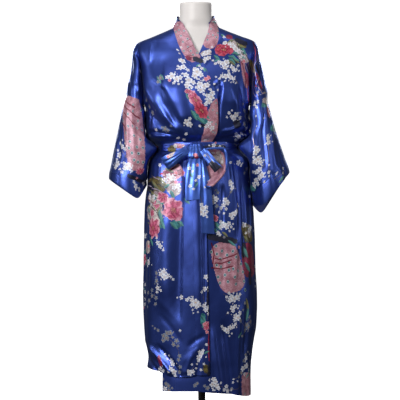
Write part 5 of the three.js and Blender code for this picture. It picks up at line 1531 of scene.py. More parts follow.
# the knot: the sash passed over itself, pinched at its waist, with creases fanning from it
nu, nv = 40, 46
tt = np.linspace(0, 1, nv + 1)
ss = np.linspace(-1, 1, nu + 1)
T, Q = np.meshgrid(tt, ss, indexing='ij')
ang = math.pi * (T * 1.16 - 0.08)                                  # from behind the top, over the front, behind the foot
half_w = 21.5 + 3.5 * np.sin(np.pi * np.clip(T, 0, 1)) - 6.0 * smooth(0.62, 1.0, T) + 2.0 * smooth(0.0, 0.25, T) - 5.5 * (1 - smooth(0.0, 0.3, T))
zc, hh, dp = 994.5, 26.5, 23.0
kz = zc + hh * np.cos(ang) - 2.5 * (1 - Q ** 2) * 0 + 2.5 * (1 - np.abs(Q) ** 2) * np.cos(ang) - 3.0 * np.abs(Q) ** 2 * smooth(0.0, 0.4, 1 - T)
prof = np.sqrt(np.clip(1 - np.abs(Q) ** 2.6, 0, 1))
ky = -105.0 - (dp * np.maximum(0, np.sin(ang)) ** 0.8 + 3.0 * np.minimum(0, np.sin(ang))) * (0.35 + 0.65 * prof) - 0.42 * np.maximum(0, 1004 - kz)
kx = -9 + half_w * Q + 2.0 * np.sin(3 * T + 1) * (1 - np.abs(Q))
crease = 0
for c0, am, wd, dr in ((-0.62, -1.8, 0.085, 0.10), (-0.30, 1.3, 0.10, 0.06), (-0.05, -1.9, 0.07, -0.12), (0.22, 1.4, 0.10, -0.05), (0.5, -1.8, 0.075, 0.10), (0.78, 0.9, 0.08, 0.02)):
    c = c0 * (0.55 + 0.75 * T) + dr * (T - 0.4)
    crease = crease + 0.5 * am * np.exp(-((Q - c) / (1.3 * wd)) ** 2) * smooth(0.0, 0.2, T) * (1 - smooth(0.86, 1.0, T))
P = np.stack([kx, ky, kz], -1)
S['belt_knot'] = ribbon('belt_knot_cloth', P, 0.9, (nv // 2, nu // 2), crease)

# left loop: out from the knot, flat, over its end and back
root, tip = np.array([-34.0, 0, 1001.5]), np.array([-113.0, 0, 955.0])
d = tip - root
cross_dir = np.array([d[2], 0, -d[0]]) / np.hypot(d[0], d[2])
nn, na = 84, 26
rows_ = []
for i in range(nn + 1):
    t = 2.0 * i / nn
    r = t if t <= 1 else 2 - t
    frontside = 1.0 if t <= 1 else -1.0
    rr = math.sin(r * math.pi / 2) ** 0.9
    x, z = root[0] + d[0] * rr, root[2] + d[2] * rr
    body = min(float(on_skirt(x, z, 0.0, False)), float(on_skirt(x + 12, z - 20, 0.0, False)))
    op = math.sqrt(max(0.0, 1 - r ** 2.2)) * 0.9
    y = min(body, -104.0) - 15.5 - frontside * 9.0 * op - (1 - r) * 2.0
    wide = mix(27.0, 45.0, float(smooth(0, 0.6, r)))
    q = np.linspace(-0.5, 0.5, na + 1)
    bow = 3.2 * (1 - (2 * q) ** 2) * frontside * float(smooth(0.0, 0.2, r)) * (1 if t <= 1 else 0.5)
    sagz = -3.0 * math.sin(math.pi * r)
    rows_.append(np.stack([x + cross_dir[0] * wide * q, y - bow, z + cross_dir[2] * wide * q + sagz], -1))
P = np.array(rows_)
T, Q = np.meshgrid(np.linspace(0, 2, nn + 1), np.linspace(-1, 1, na + 1), indexing='ij')
Rr = np.where(T <= 1, T, 2 - T)
rel = 0
for c0, am, wd in ((-0.55, -1.3, 0.12), (-0.12, 1.0, 0.16), (0.25, -1.5, 0.12), (0.62, 1.1, 0.15)):
    rel = rel + 0.6 * am * np.exp(-((Q - c0 * (0.35 + 0.8 * Rr)) / (1.2 * wd * (0.5 + 0.8 * Rr))) ** 2) * (1 - smooth(0.55, 0.98, Rr)) * smooth(0.0, 0.1, Rr)
rel = rel + 0.5 * noise3(P[..., 0] / 14, P[..., 1] / 14, P[..., 2] / 14, 95)
S['belt_loop_left'] = ribbon('belt_loop_left_cloth', P, 0.8, (nn // 4, na // 2), rel)

# right loop: an open ring, its rolled front edge towards the front, the cloth running back and in
RIM = np.array([[20, 999], [38, 1001], [55, 1001.5], [72, 1003], [86, 1002], [93.5, 992], [95.5, 972], [95, 952], [90, 934], [81, 917], [70, 902], [57, 889], [44, 878], [34, 873], [25, 880]], float)
k = np.arange(len(RIM), dtype=float)
st = np.linspace(0, len(RIM) - 1, 100)
rx = read((['k', 'v'], np.stack([k, RIM[:, 0]], 1)), 'v', st)
rz = read((['k', 'v'], np.stack([k, RIM[:, 1]], 1)), 'v', st)
for _ in range(10):
    rx[1:-1] = 0.5 * rx[1:-1] + 0.25 * (rx[:-2] + rx[2:])
    rz[1:-1] = 0.5 * rz[1:-1] + 0.25 * (rz[:-2] + rz[2:])
cx, cz = 56.0, 955.0
tang = np.stack([np.gradient(rx), np.gradient(rz)], -1)
tang /= np.linalg.norm(tang, axis=1, keepdims=True)
inw = np.stack([-tang[:, 1], tang[:, 0]], -1)
inw *= np.sign((inw * np.stack([cx - rx, cz - rz], -1)).sum(1, keepdims=True))
bodyy = np.minimum(np.minimum(on_skirt(rx, rz, 0.0, False), on_skirt(rx, rz - 25, 0.0, False)), on_skirt(rx + 10, rz, 0.0, False))
for _ in range(30):
    bodyy[1:-1] = 0.5 * bodyy[1:-1] + 0.25 * (bodyy[:-2] + bodyy[2:])
prof_in = np.array([-1.5, -3.6, -4.6, -4.2, -2.4, 0.4, 3.0, 4.8, 6.2, 8.2, 11.0, 14.5, 18.0, 21.0])
prof_bk = np.array([15.0, 9.5, 5.2, 1.8, -0.2, -0.9, 0.0, 2.6, 6.0, 10.5, 15.5, 21.0, 26.5, 31.5])
tq = np.linspace(0, 1, 27)
pi_ = np.interp(tq, np.linspace(0, 1, 14), prof_in)
pb_ = np.interp(tq, np.linspace(0, 1, 14), prof_bk)
taper = smooth(0, 0.12, np.linspace(0, 1, 100)) * 0.45 + 0.55
wob = 1.0 + 0.10 * np.sin(np.linspace(0, 1, 100) * 19 + 1.0)
P = np.zeros((100, 27, 3))
P[..., 0] = rx[:, None] + inw[:, :1] * pi_[None] * taper[:, None]
P[..., 2] = rz[:, None] + inw[:, 1:] * pi_[None] * taper[:, None]
P[..., 1] = bodyy[:, None] - 36.0 + pb_[None] * taper[:, None] * wob[:, None]
T, Q = np.meshgrid(np.linspace(0, 1, 100), tq, indexing='ij')
rel = 0.5 * noise3(T * 14, Q * 5, T * 0 + 2, 97)
n = grid_normals(P, np.ones((99, 26), bool), False, 1)
ref = n[50, 5]
if ref[1] > 0:
    n = -n
P = P + n * rel[..., None]
S['belt_loop_right'] = Sheet('belt_loop_right_cloth', P, uv=flat_uv(P), thick=0.8, normals=n)

# the strand that crosses the right loop
root, tip = np.array([16.0, 0, 998.0]), np.array([67.0, 0, 931.0])
d = tip - root
cross_dir = np.array([d[2], 0, -d[0]]) / np.hypot(d[0], d[2])
rows_ = []
for t in np.linspace(0, 1, 45):
    x, z = root[0] + d[0] * t, root[2] + d[2] * t
    body = float(on_skirt(x, z, 0.0, False))
    wide = mix(23.0, 31.0, t)
    q = np.linspace(-0.5, 0.5, 19)
    rows_.append(np.stack([x + cross_dir[0] * wide * q, body - 47 - 4 * math.sin(math.pi * t) - 3.5 * (1 - (2 * q) ** 2), z + cross_dir[2] * wide * q], -1))
P = np.array(rows_)
T, Q = np.meshgrid(np.linspace(0, 1, 45), np.linspace(-1, 1, 19), indexing='ij')
rel = -1.6 * np.exp(-((Q + 0.3 - 0.3 * T) / 0.16) ** 2) + 1.2 * np.exp(-((Q - 0.15) / 0.2) ** 2) - 1.3 * np.exp(-((Q - 0.55 + 0.2 * T) / 0.14) ** 2)
S['belt_strand_right'] = ribbon('belt_strand_right_cloth', P, 0.8, (20, 9), rel)

# hanging ends
TAIL_SHORT = table('z x wide out', [[833, -19, 49, 13], [860, -19, 49, 13], [890, -17.5, 48, 14], [920, -14.5, 46, 16], [945, -12.5, 43, 19], [970, -11, 37, 22.5]])
TAIL_LONG = table('z x wide out', [[721, 25, 52, 5.5], [760, 24, 51, 5.5], [800, 22, 51, 6], [840, 21, 49, 6], [880, 19, 45, 6.5], [920, 16, 36, 7.5], [950, 12, 27, 9.5], [970, 10, 21, 12]])


def hanging(tab, rows, across, name, creases, tilt=0.0):
    zlo, zhi = tab[1][0, 0], tab[1][-1, 0]
    zz = np.linspace(zhi, zlo, rows + 1)
    q = np.linspace(-1, 1, across + 1)
    x = read(tab, 'x', zz)[:, None] + read(tab, 'wide', zz)[:, None] * 0.5 * q[None]
    z = np.repeat(zz[:, None], across + 1, 1) + tilt * q[None] * (1 - (zz - zlo) / (zhi - zlo))[:, None]
    xs = np.repeat(read(tab, 'x', zz)[:, None], across + 1, 1)
    y = on_skirt(x, np.clip(z, 150, 1000), read(tab, 'out', zz)[:, None], False)
    P = np.stack([x, y, z], -1)
    T = (zhi - z) / (zhi - zlo)
    rel = 0.6 * noise3(x / 16, z / 40, x * 0 + 3, 99)
    for c0, c1, am, wd in creases:
        c = mix(c0, c1, T)
        rel = rel + 0.55 * am * np.exp(-((q[None] - c) / (1.25 * wd)) ** 2) * (1 - 0.75 * smooth(0.4, 1.0, T))
    return ribbon(name, P, 0.8, (rows // 2, across // 2), rel)


S['belt_tail_short'] = hanging(TAIL_SHORT, 56, 26, 'belt_tail_short_cloth', ((-0.75, -0.8, 1.4, 0.22), (-0.35, -0.45, -1.2, 0.2), (0.15, 0.05, 1.0, 0.24), (0.62, 0.7, -1.2, 0.2)), 1.5)
S['belt_tail_long'] = hanging(TAIL_LONG, 96, 26, 'belt_tail_long_cloth', ((-0.6, -0.8, 1.3, 0.24), (-0.1, -0.3, -1.6, 0.2), (0.4, 0.2, 1.2, 0.24)), -2.0)

# =====================================================================  print

PR = {k: Print(s) for k, s in S.items()}
FR, FL, BK, BR, BL = (PR[k] for k in ('front_right_lapped', 'front_left_under', 'back', 'band_right_lapped', 'band_left_under'))
SR, CR, SL, CL = (PR[k] for k in ('sleeve_right', 'cuff_right', 'sleeve_left', 'cuff_left'))
TS, TL, KN, LL, LR, ST, BW = (PR[k] for k in ('belt_tail_short', 'belt_tail_long', 'belt_knot', 'belt_loop_left', 'belt_loop_right', 'belt_strand_right', 'belt_waist'))

# ---- fields: rose grounds, dark and leafy passages, all one rounded form with a place, a size and a tilt
def field(cx, cy, a, b, tilt, n=3.2, steps=28):
    c_, s_ = math.cos(math.radians(tilt)), math.sin(math.radians(tilt))
    out = []
    for i in range(steps):
        w = 2 * math.pi * i / steps
        x, y = math.cos(w), math.sin(w)
        x, y = a * math.copysign(abs(x) ** (2 / n), x), b * math.copysign(abs(y) ** (2 / n), y)
        out.append((cx + x * c_ - y * s_, cy + x * s_ + y * c_))
    return out


BR.area('f_pink', field(186, 42, 22, 8.5, 60))
BR.area('f_ink_and_shadow', field(198, 60, 5.5, 2.5, 20))
BR.area('f_maroon', field(188, 58, 4, 2, 10))
BR.area('f_pink', field(213, 124, 8, 26, 15))
BR.area('f_teal', field(189, 89, 3.5, 2.5, 0))
# the dark patch (second area) is painted shade at the left edge of the pink stretch below the bust; the teal is print
for q_ in (BR, FR):
    q_.area('f_teal', field(200, 118, 10, 3, 35))
    q_.area('f_ink_and_shadow', field(204, 126, 4, 1.5, 30))
BR.area('f_teal', field(203, 319, 2.5, 6, 0))
# painted shadow down the lapped band's free edge: two dark strips, and between them a maroon strip for pink print in
# that shadow
BR.area('f_ink_and_shadow', field(208, 301, 1.5, 15, 0))
BR.area('f_maroon', field(211, 346, 3, 16.5, 0))
BR.area('f_ink_and_shadow', field(210, 371, 2.5, 7.5, 5))
BR.area('f_olive', field(206, 369, 4.5, 2.5, 80))
BL.area('f_pink', field(214, 33, 8, 16.5, 25))
BL.area('f_grey', field(206, 53, 2.5, 5.5, 75))
FL.area('f_grey', field(240, 52, 13, 4, 55))
FL.area('f_olive', field(238, 44, 9, 3, 15))
FL.area('f_ink_and_shadow', field(241, 42, 7, 2.5, 25))
FL.area('f_maroon', field(229, 37, 3.5, 2, 10))
FL.area('f_ink_and_shadow', field(232, 62, 2.5, 6, 80))
FL.area('f_grey', field(226, 45, 4, 2.5, 65))
FL.area('f_pink', field(244, 73, 15.5, 2, 80))
FL.area('f_maroon', field(247, 79, 7, 1.5, 80))
FL.area('f_olive', field(252, 66, 7, 2, 70))
FL.area('f_maroon', field(259, 81, 9, 1.5, 70))
for pts, wd_, kd_ in (([(241, 54), (245, 64), (248.5, 76)], 1.1, 3), ([(242, 62), (244.5, 74), (246, 88)], 1.2, 1), ([(256, 66), (260, 78), (263, 90)], 1.4, 2), ([(244, 56), (249, 68), (253, 80)], 1.0, 3), ([(247, 62), (252, 74), (256, 86)], 1.2, 1), ([(249, 76), (254, 85), (258, 95)], 1.0, 3), ([(251, 72), (257, 82), (262, 93)], 1.1, 3), ([(249, 84), (253, 91), (257, 98)], 1.0, 3), ([(253, 68), (258, 78), (262, 86)], 1.0, 2), ([(238, 47), (244, 54), (249, 62)], 1.3, 2), ([(236, 52), (241, 60)], 1.1, 3)):
    FL.line(pts, wd_, kd_)
FL.area('f_grey', field(265, 97, 5, 2.5, 80))
FL.area('f_ink_and_shadow', field(237, 124, 4, 3.5, 70))
SL.area('f_teal', field(264, 105, 2.5, 2.5, 10))
SL.area('f_grey', field(266, 101, 3.5, 3.5, 80))
SL.area('f_teal', field(274, 128, 3.5, 3.5, 15))
SL.area('f_teal', field(253, 188, 3, 3, 15))
# left sleeve swath
SWATH = field(134, 133, 38, 10, 85)
SR.area('f_pink', SWATH)
CR.area('f_pink', field(141, 175, 5, 7.5, 75))
# painted shadow: a dark line along the seam where the cuff meets the sleeve
for q_ in (SR, CR):
    q_.area('f_ink_and_shadow', field(136, 179, 10, 2, 25))
# skirt
FR.area('f_pink', field(173, 173, 7.5, 10.5, 60))
FR.area('f_grey', field(173, 188, 8.5, 6.5, 50))
FR.area('f_grey', field(157, 208, 5.5, 17, 0))
FR.area('f_ink_and_shadow', field(150, 187, 5, 4, 65))
FR.area('f_olive', field(157, 185, 8.5, 8.5, 80))
FR.area('f_maroon', field(169, 173, 6, 2.5, 5))
FR.area('f_grey', field(153, 199, 5, 4.5, 70))
FR.area('f_teal', field(173, 192, 2.5, 6, 0))
FR.area('f_teal', field(160, 218, 10.5, 3, 80))
FR.area('f_teal', field(177, 224, 4.5, 4.5, 75))
FR.area('f_grey', field(150, 213, 7.5, 2.5, 85))
FR.area('f_grey', field(148, 247, 2, 6.5, 0))
FR.area('f_maroon', field(160, 361, 6, 1.5, 75))
FL.area('f_ink_and_shadow', field(222, 239, 16, 3.5, 10))
FL.area('f_pink', field(228, 267, 26, 14, 75))
FL.area('f_maroon', field(248, 260, 17.5, 6, 85))
FL.area('f_ink_and_shadow', field(244, 250, 2.5, 7.5, 0))
FL.area('f_ink_and_shadow', field(250, 277, 1.5, 8.5, 0))
FL.area('f_grey', field(249, 231, 6.5, 1.5, 85))
FL.area('f_olive', field(247, 233, 9.5, 4.5, 75))
FL.area('f_pink', field(248, 386, 6.5, 13.5, 0))
FL.leaf(246, 298, 248.5, 312, 3.6, 1)
FL.leaf(248, 308, 246.5, 321, 3.4, 0)

for pts, wd_, kd_ in (([(161, 174), (168, 170), (178, 167)], 1.5, 1), ([(162, 181), (170, 176), (181, 174)], 1.2, 1), ([(165, 186), (173, 182), (183, 181)], 1.0, 1), ([(163, 177), (171, 173), (180, 170)], 0.9, 2),
                      ([(149, 180), (157, 184), (166, 188)], 0.9, 2), ([(149, 186), (156, 189), (163, 193)], 0.9, 3), ([(152, 176), (160, 180), (168, 185)], 0.8, 3), ([(148, 199), (153, 203), (157, 210)], 1.2, 1), ([(151, 206), (156, 211), (160, 219)], 1.2, 2), ([(149, 214), (152, 221)], 1.0, 1), ([(157, 198), (162, 203), (164, 210)], 1.1, 2), ([(167, 196), (170, 203)], 1.0, 3)):
    FR.line(pts, wd_, kd_)

# ---- peonies
FL.rose(224, 49.5, 9.4, 1, 0.72, 0.05)
FL.rose(217.5, 47, 4.5, 1, 0.8)
for q_ in (BR, FR):
    q_.rose(195.5, 99.5, 11.0, 0, 0.46, -1.0)
    q_.rose(201.5, 110.5, 8.4, 1, 0.66, -1.0)
    q_.rose(188.5, 91.5, 3.6, 0, 0.8)
FR.rose(173, 210, 11.0, 0, 1.0)
FR.rose(163, 197.5, 6.2, 0, 0.9)
FR.rose(156.5, 204, 4.2, 0, 1.1)
FR.rose(152, 213, 3.4, 0, 1.1)
FR.rose(153.5, 228, 8.2, 0, 1.25)
CR.rose(140, 173.5, 5.4, 0, 0.8)
SR.rose(140, 171, 4.0, 0, 0.9)
SL.rose(268.5, 111, 5.2, 0, 1.25)
FL.rose(215, 218, 3.4, 0, 1.0)
BR.rose(206.5, 326, 3.6, 0, 1.3)
FR.rose(183, 173, 2.4, 0)

# ---- leaves
for a in ((214, 55, 220, 61, 3.6), (219, 58, 214, 62, 2.8), (228, 56, 240, 60, 4.4), (232, 54, 242, 52, 4.0), (228, 59, 236, 64, 3.4), (238, 56, 246, 60, 3.2), (221, 35, 226, 38, 3), (240, 46, 246, 56, 3.6)):
    FL.leaf(*a)
for a in ((226, 44, 234, 39, 3.2), (236, 42, 245, 47, 3.4), (227, 61, 236, 66, 3.2), (233, 58, 240, 63, 3.0)):
    FL.leaf(*a, kind=1)
for a in ((191, 110, 197, 120, 4), (196, 117, 206, 124, 4.2), (201, 113, 210, 119, 3.6), (186, 90, 192, 88, 3), (205, 68, 210, 74, 2.6), (189, 100, 186, 92, 2.6)):
    BR.leaf(*a)
    FR.leaf(*a)
for a in ((203, 67, 205, 72, 3), (196, 67, 201, 64, 2.6), (157, 76, 161, 84, 3.4), (160, 74, 164, 80, 3)):
    (FR if a[0] < 190 else BR).leaf(*a)
for a in ((170, 190, 174, 199, 4.2), (164, 188, 170, 184, 3.4), (158, 208, 162, 222, 4.6), (160, 220, 165, 229, 4.4), (170, 222, 178, 229, 4.6), (177, 221, 184, 226, 4.2), (150, 237, 153, 246, 3.8), (148, 208, 151, 218, 3.6), (157, 202, 153, 194, 3.4), (184, 198, 190, 204, 3.4), (165, 204, 158, 200, 3.6)):
    FR.leaf(*a)
for a in ((155, 206, 151, 218, 2.6), (160, 203, 157, 214, 2.4), (148, 222, 151, 232, 2.8), (166, 204, 170, 196, 2.4), (160, 226, 156, 236, 2.6), (152, 180, 160, 190, 4.4), (159, 178, 167, 186, 4.0), (150, 190, 158, 196, 3.6), (164, 168, 174, 172, 3.2), (152, 200, 148, 208, 3.2)):
    FR.leaf(*a, kind=1)
for a in ((215, 222, 220, 230, 4.4), (219, 226, 225, 222, 3.4), (213, 228, 218, 233, 3.6), (243, 246, 248, 258, 4.2), (245, 262, 250, 272, 4.0), (228, 240, 236, 246, 3), (242, 332, 238, 338, 2.6), (250, 370, 246, 378, 2.8)):
    FL.leaf(*a)
for a in ((246, 226, 251, 234, 3.6), (244, 236, 249, 243, 3.4), (222, 232, 228, 237, 3.0)):
    FL.leaf(*a, kind=1)
for a in ((201, 315, 206, 322, 3.4), (202, 328, 206, 322, 2.6), (204, 354, 209, 351, 2.4)):
    BR.leaf(*a)
for a in ((262, 103, 268, 108, 3.4), (271, 124, 277, 132, 4.0), (275, 123, 281, 128, 3.2), (251, 185, 256, 192, 3.4)):
    SL.leaf(*a)

# ---- twigs and drawn lines
for pts in ([(179, 50), (182, 58), (184, 66), (190, 71)], [(166, 78), (174, 77), (182, 78), (188, 82)]):
    FR.line(pts, 0.5)
for pts in ([(202, 57), (206, 60), (204, 66)], [(193, 70), (199, 80), (203, 88), (210, 97), (207, 104)], [(184, 76), (194, 84), (202, 86)]):
    BR.line(pts, 0.5)
for pts in ([(214, 64), (222, 65), (230, 68), (237, 70)], [(218, 79), (226, 76), (234, 79), (238, 84)], [(229, 112), (236, 116), (243, 117), (245, 126), (244, 138), (249, 146)], [(203, 60), (209, 58), (215, 63)]):
    FL.line(pts, 0.5)
for pts in ([(262, 168), (266, 163), (270, 160)], [(269, 136), (268.5, 150), (269, 172)], [(255, 104), (256, 118), (255, 150), (258, 162), (261, 176)]):
    SL.line(pts, 0.5)
for pts in ([(120, 140), (122, 150), (118, 160), (116, 168)], [(122, 150), (127, 158), (128, 168)]):
    SR.line(pts, 0.5)
for pts in ([(200, 196), (204, 208), (203, 216)],):
    TL.line(pts, 0.5)
for pts in ([(214, 190), (217, 198), (216, 206), (224, 208), (229, 202)], [(216, 206), (214, 214), (221, 224), (230, 230)], [(231, 180), (232, 190), (228, 198)], [(224, 294), (234, 298), (241, 296)], [(226, 315), (234, 308), (240, 312), (241, 322), (247, 330)], [(222, 326), (230, 330), (238, 325)], [(250, 316), (247, 328), (242, 338)], [(249, 352), (245, 362), (240, 374), (234, 380)], [(208, 388), (216, 384), (224, 388), (232, 391), (240, 387)]):
    FL.line(pts, 0.5)
for pts in ([(156, 270), (157, 280), (156, 292), (150, 300)], [(157, 275), (165, 277), (172, 280)], [(181, 297), (188, 301), (196, 303), (204, 307)], [(165, 336), (174, 343), (178.5, 350), (179, 362), (179.5, 374)], [(153, 326), (158, 330)], [(165, 356), (171, 362), (175, 372)], [(190, 373), (194, 366), (199, 358), (203, 350)]):
    FR.line(pts, 0.5)
for pts in ([(203, 294), (205, 305), (209, 313), (207, 320)], [(210, 284), (210, 296), (212, 305), (215, 312)]):
    BR.line(pts, 0.5)
# dark red lines in the pink grounds
for pts in ([(187, 41), (190.5, 39)], [(187.5, 48.5), (193.5, 45)], [(186, 55), (193, 56)]):
    BR.line(pts, 0.8, 1)
for pts in ([(125, 100), (129, 104), (134, 107)], [(127, 108.5), (133, 113.5), (139, 118)], [(123, 111.5), (128, 117.5), (134, 124)], [(122, 122), (126, 129)], [(124, 106), (130, 111)]):
    SR.line(pts, 1.7, 1)
for pts in ([(212, 244), (214, 254), (213, 263)], [(214, 258), (221, 260), (229, 257), (236, 254)], [(214, 263), (222, 263.5), (231, 260)], [(213, 268), (222, 269), (232, 266)]):
    FL.line(pts, 1.5, 1)
for pts in ([(249, 72), (252, 80), (254, 88)], [(252, 76), (257, 84), (261, 92)], [(250, 84), (254, 92), (257, 98)], [(251, 68), (256, 75), (260, 83)]):
    FL.line(pts, 0.9, 1)

# ---- eyes of the feathers
for x, y in ((179, 30), (181, 36), (187.5, 39), (183, 42), (188, 47), (191, 51), (197, 53), (176, 32), (184, 31), (193, 55), (184, 51)):
    BR.eye(x, y, 1.2)
for x, y in ((216, 103), (213, 110), (217, 113), (212, 122), (216, 124), (213, 132), (208, 139), (204, 144), (215, 133)):
    BR.eye(x, y, 1.0)
for x, y in ((215, 24), (211, 29), (219, 29), (208.5, 34), (218, 33), (216.5, 37.5), (207.5, 40), (213, 35), (221, 24)):
    BL.eye(x, y, 1.1)
for x, y in ((133, 105), (133, 111), (138, 121), (123, 121), (128, 126), (132.5, 126), (126, 133), (134, 135.5), (130, 141.5), (140.5, 139.5), (137, 147), (132, 153), (138.5, 153.5), (138, 162), (137, 128), (141, 110), (142, 130), (143, 148), (134, 160), (143, 162), (128, 114), (129, 148)):
    SR.eye(x, y, 1.5)
for x, y in ((222, 251), (216, 246), (227, 255), (233, 251), (217, 254), (220, 259), (236, 257), (229, 262), (241, 264), (221, 267), (229, 270), (233, 269), (238, 271), (225, 275), (235, 277), (243, 272), (228, 282), (220, 283), (236, 284), (218, 277), (244, 281), (245, 290), (217, 265), (211, 252)):
    FL.eye(x, y, 1.65)
for x, y in ((245, 394), (249, 384), (250, 392), (247, 377)):
    FL.eye(x, y, 1.1)

# ---- blossoms: (x, y, radius in pixels, kind); kind 0 white, 1 pink, 2 grey: white blossoms greyed as painted shade where they lie in shade
B_FR = [(160.5, 78, 2.6, 2), (158, 82, 1.8, 2), (172, 76, 3.3, 0), (176.5, 79, 3.2, 0), (167.5, 77, 2, 0), (180, 77.5, 2.4, 0), (174, 83, 1.5, 0), (178.5, 84, 1.1, 0), (182, 82, 1.1, 0), (169.5, 80.5, 1.5, 1), (171, 73.5, 1.3, 0),
        (177.5, 50, 1.2, 0), (181, 47.5, 1.1, 0), (179.5, 53.5, 0.9, 0), (182.5, 61, 2.9, 0), (180, 60, 1.6, 0), (180.5, 68, 2.2, 0), (183.5, 67, 2.5, 0), (187.5, 70, 1.9, 0), (178, 66, 1.2, 0), (177, 69, 0.9, 0),
        (183.5, 74.5, 2.0, 0), (187, 86, 2.2, 0), (187, 122, 2.9, 0), (189.5, 124.5, 2.6, 0), (190, 118.5, 1.6, 0), (156, 130, 1.7, 0), (165, 129, 2.6, 2), (168, 131, 1.6, 2), (162, 127.5, 1.2, 2), (171, 126, 1.3, 2),
        (178, 138, 1.6, 0), (184, 139.5, 1.6, 0), (186, 134, 1.5, 0), (144.5, 92, 1.5, 2), (146.5, 100, 1.9, 2), (149.5, 106.5, 2.2, 2), (152.5, 113, 2.4, 2), (147, 110, 1.2, 2), (150, 136, 1.3, 2),
        (145, 124, 1.4, 0), (160, 165, 1.7, 0), (157.5, 242.5, 2.0, 0), (160, 246, 2.4, 0), (163, 250, 1.2, 0), (156.5, 238, 1.1, 0), (148.5, 262, 2.6, 0), (147.5, 266, 1.6, 0), (150, 258, 1.2, 0),
        (156.5, 273, 1.8, 2), (161, 274, 2.4, 0), (164, 272.5, 2.6, 0), (164.5, 277, 2.6, 0), (168, 275.5, 2.0, 0), (171, 277, 1.2, 0), (173, 279.5, 1.2, 0), (160.5, 269.5, 0.8, 0), (164, 269, 0.8, 0), (156.5, 281, 2.2, 2),
        (157.5, 288, 2.2, 0), (160.5, 290.5, 1.4, 0), (157, 292, 1.5, 0), (152, 290, 1.8, 2), (148, 293, 2.2, 2), (152, 296, 1.9, 2), (156, 298, 2.1, 2), (149, 301, 2.2, 2), (155.5, 304, 1.8, 2), (147.5, 307, 1.2, 2),
        (181.5, 297.5, 2.1, 0), (187, 300, 1.6, 0), (192, 300, 2.0, 0), (195.5, 302.5, 3.2, 0), (192, 305, 2.0, 0), (199, 305, 2.4, 0), (196.5, 307, 1.9, 0), (192.5, 310, 0.9, 0), (198, 312, 0.9, 0), (193.5, 313, 0.8, 0), (189, 298, 1.2, 0),
        (155, 328.5, 1.2, 2), (158, 330.5, 1.6, 2), (152.5, 326, 0.8, 2), (180, 330.5, 1.2, 0), (163.5, 336, 2.3, 2), (167, 333.5, 2.6, 2), (170.5, 333, 2.4, 2), (166.5, 338, 2.8, 2), (163, 340.5, 2.0, 2), (172.5, 337, 1.7, 2), (176.5, 341, 2.2, 2), (173.5, 344.5, 1.9, 2), (178, 346, 1.4, 2),
        (179.5, 356, 1.8, 2), (178.5, 360, 1.7, 2), (180, 367, 1.8, 2), (179.5, 372, 1.8, 2), (165, 354.5, 1.3, 0), (169, 355.5, 0.9, 0), (167, 359, 1.0, 0), (171.5, 360, 1.6, 0), (172.5, 364, 2.2, 0), (171, 369, 2.0, 0), (174, 372, 2.5, 0), (175, 376, 1.4, 0), (160, 369, 2.2, 0), (163, 371, 1.6, 0), (168, 372, 1.2, 0),
        (190, 373, 2.6, 0), (193, 371.5, 1.8, 0), (188, 371, 1.3, 0), (192, 364.5, 1.1, 0), (197, 364, 1.0, 0), (196.5, 368.5, 0.9, 0), (199, 357.5, 2.4, 0), (201, 354, 2.4, 0), (199.5, 352, 1.6, 0), (198.5, 361, 1.3, 0), (203, 350.5, 1.4, 0),
        (176, 182, 1.9, 1), (169, 176, 2.6, 0), (173, 178, 2.6, 0), (176, 173, 2.0, 1), (178, 186, 2.4, 0), (174, 188, 1.9, 0), (166, 180, 2.2, 0), (150.5, 198, 2.4, 0), (154, 197, 2.2, 0), (151, 204, 2.0, 0), (148.5, 246, 1.8, 1), (148, 212, 1.9, 2), (179, 190, 1.6, 0)]
B_BR = [(186, 75, 2.6, 0), (189, 80, 3.2, 0), (187.5, 84.5, 2.8, 0), (193, 82.5, 2.5, 0), (191, 87, 2.1, 0), (197, 72, 3.8, 0), (194.5, 76, 2.7, 0), (201, 75, 2.4, 0), (202, 68.5, 1.6, 0), (199.5, 66, 1.2, 0), (195, 69, 1.8, 0), (198, 78, 2.0, 0),
        (200, 84, 2.8, 0), (204, 86, 3.0, 0), (207.5, 85, 2.3, 0), (201, 90, 2.8, 0), (197, 87, 2.0, 0), (206, 79, 2.2, 1), (208.5, 77.5, 2.0, 1), (203, 80, 1.4, 0), (211, 97, 2.9, 0), (209, 101, 2.8, 0), (212.5, 93, 2.3, 0), (207, 95.5, 1.9, 0), (206, 104, 1.8, 0), (210, 89, 1.6, 0), (204, 94, 1.3, 0),
        (209, 123.5, 2.2, 0), (212, 128, 2.2, 0), (206, 127, 1.5, 0), (205, 140, 1.4, 0), (200, 126, 1.2, 0),
        (206, 277, 2.2, 0), (204.5, 289, 2.2, 0), (202, 292, 1.4, 0), (212, 283, 2.4, 0), (210, 288, 2.6, 0), (213, 290, 2.0, 0), (204, 306, 2.2, 0), (206, 310, 2.0, 0), (211, 303, 2.2, 0), (213, 298, 1.6, 0), (208.5, 308, 1.8, 0), (214, 313, 2.0, 0), (216, 309.5, 1.4, 0), (209, 314, 1.3, 0),
        (205, 324, 1.8, 1), (207, 332, 1.6, 1), (206.5, 344.5, 1.3, 0), (202, 352, 1.6, 0), (204, 364, 1.1, 0), (201, 370, 1.3, 0), (206, 357, 0.8, 0)]
B_BL = [(206, 53, 2.3, 0), (209, 51, 1.6, 0), (205.5, 59, 2.5, 0), (208.5, 58, 2.2, 0), (204, 62, 1.7, 0), (210, 55, 1.3, 0), (203, 55, 1.6, 0), (212, 47, 1.0, 0)]
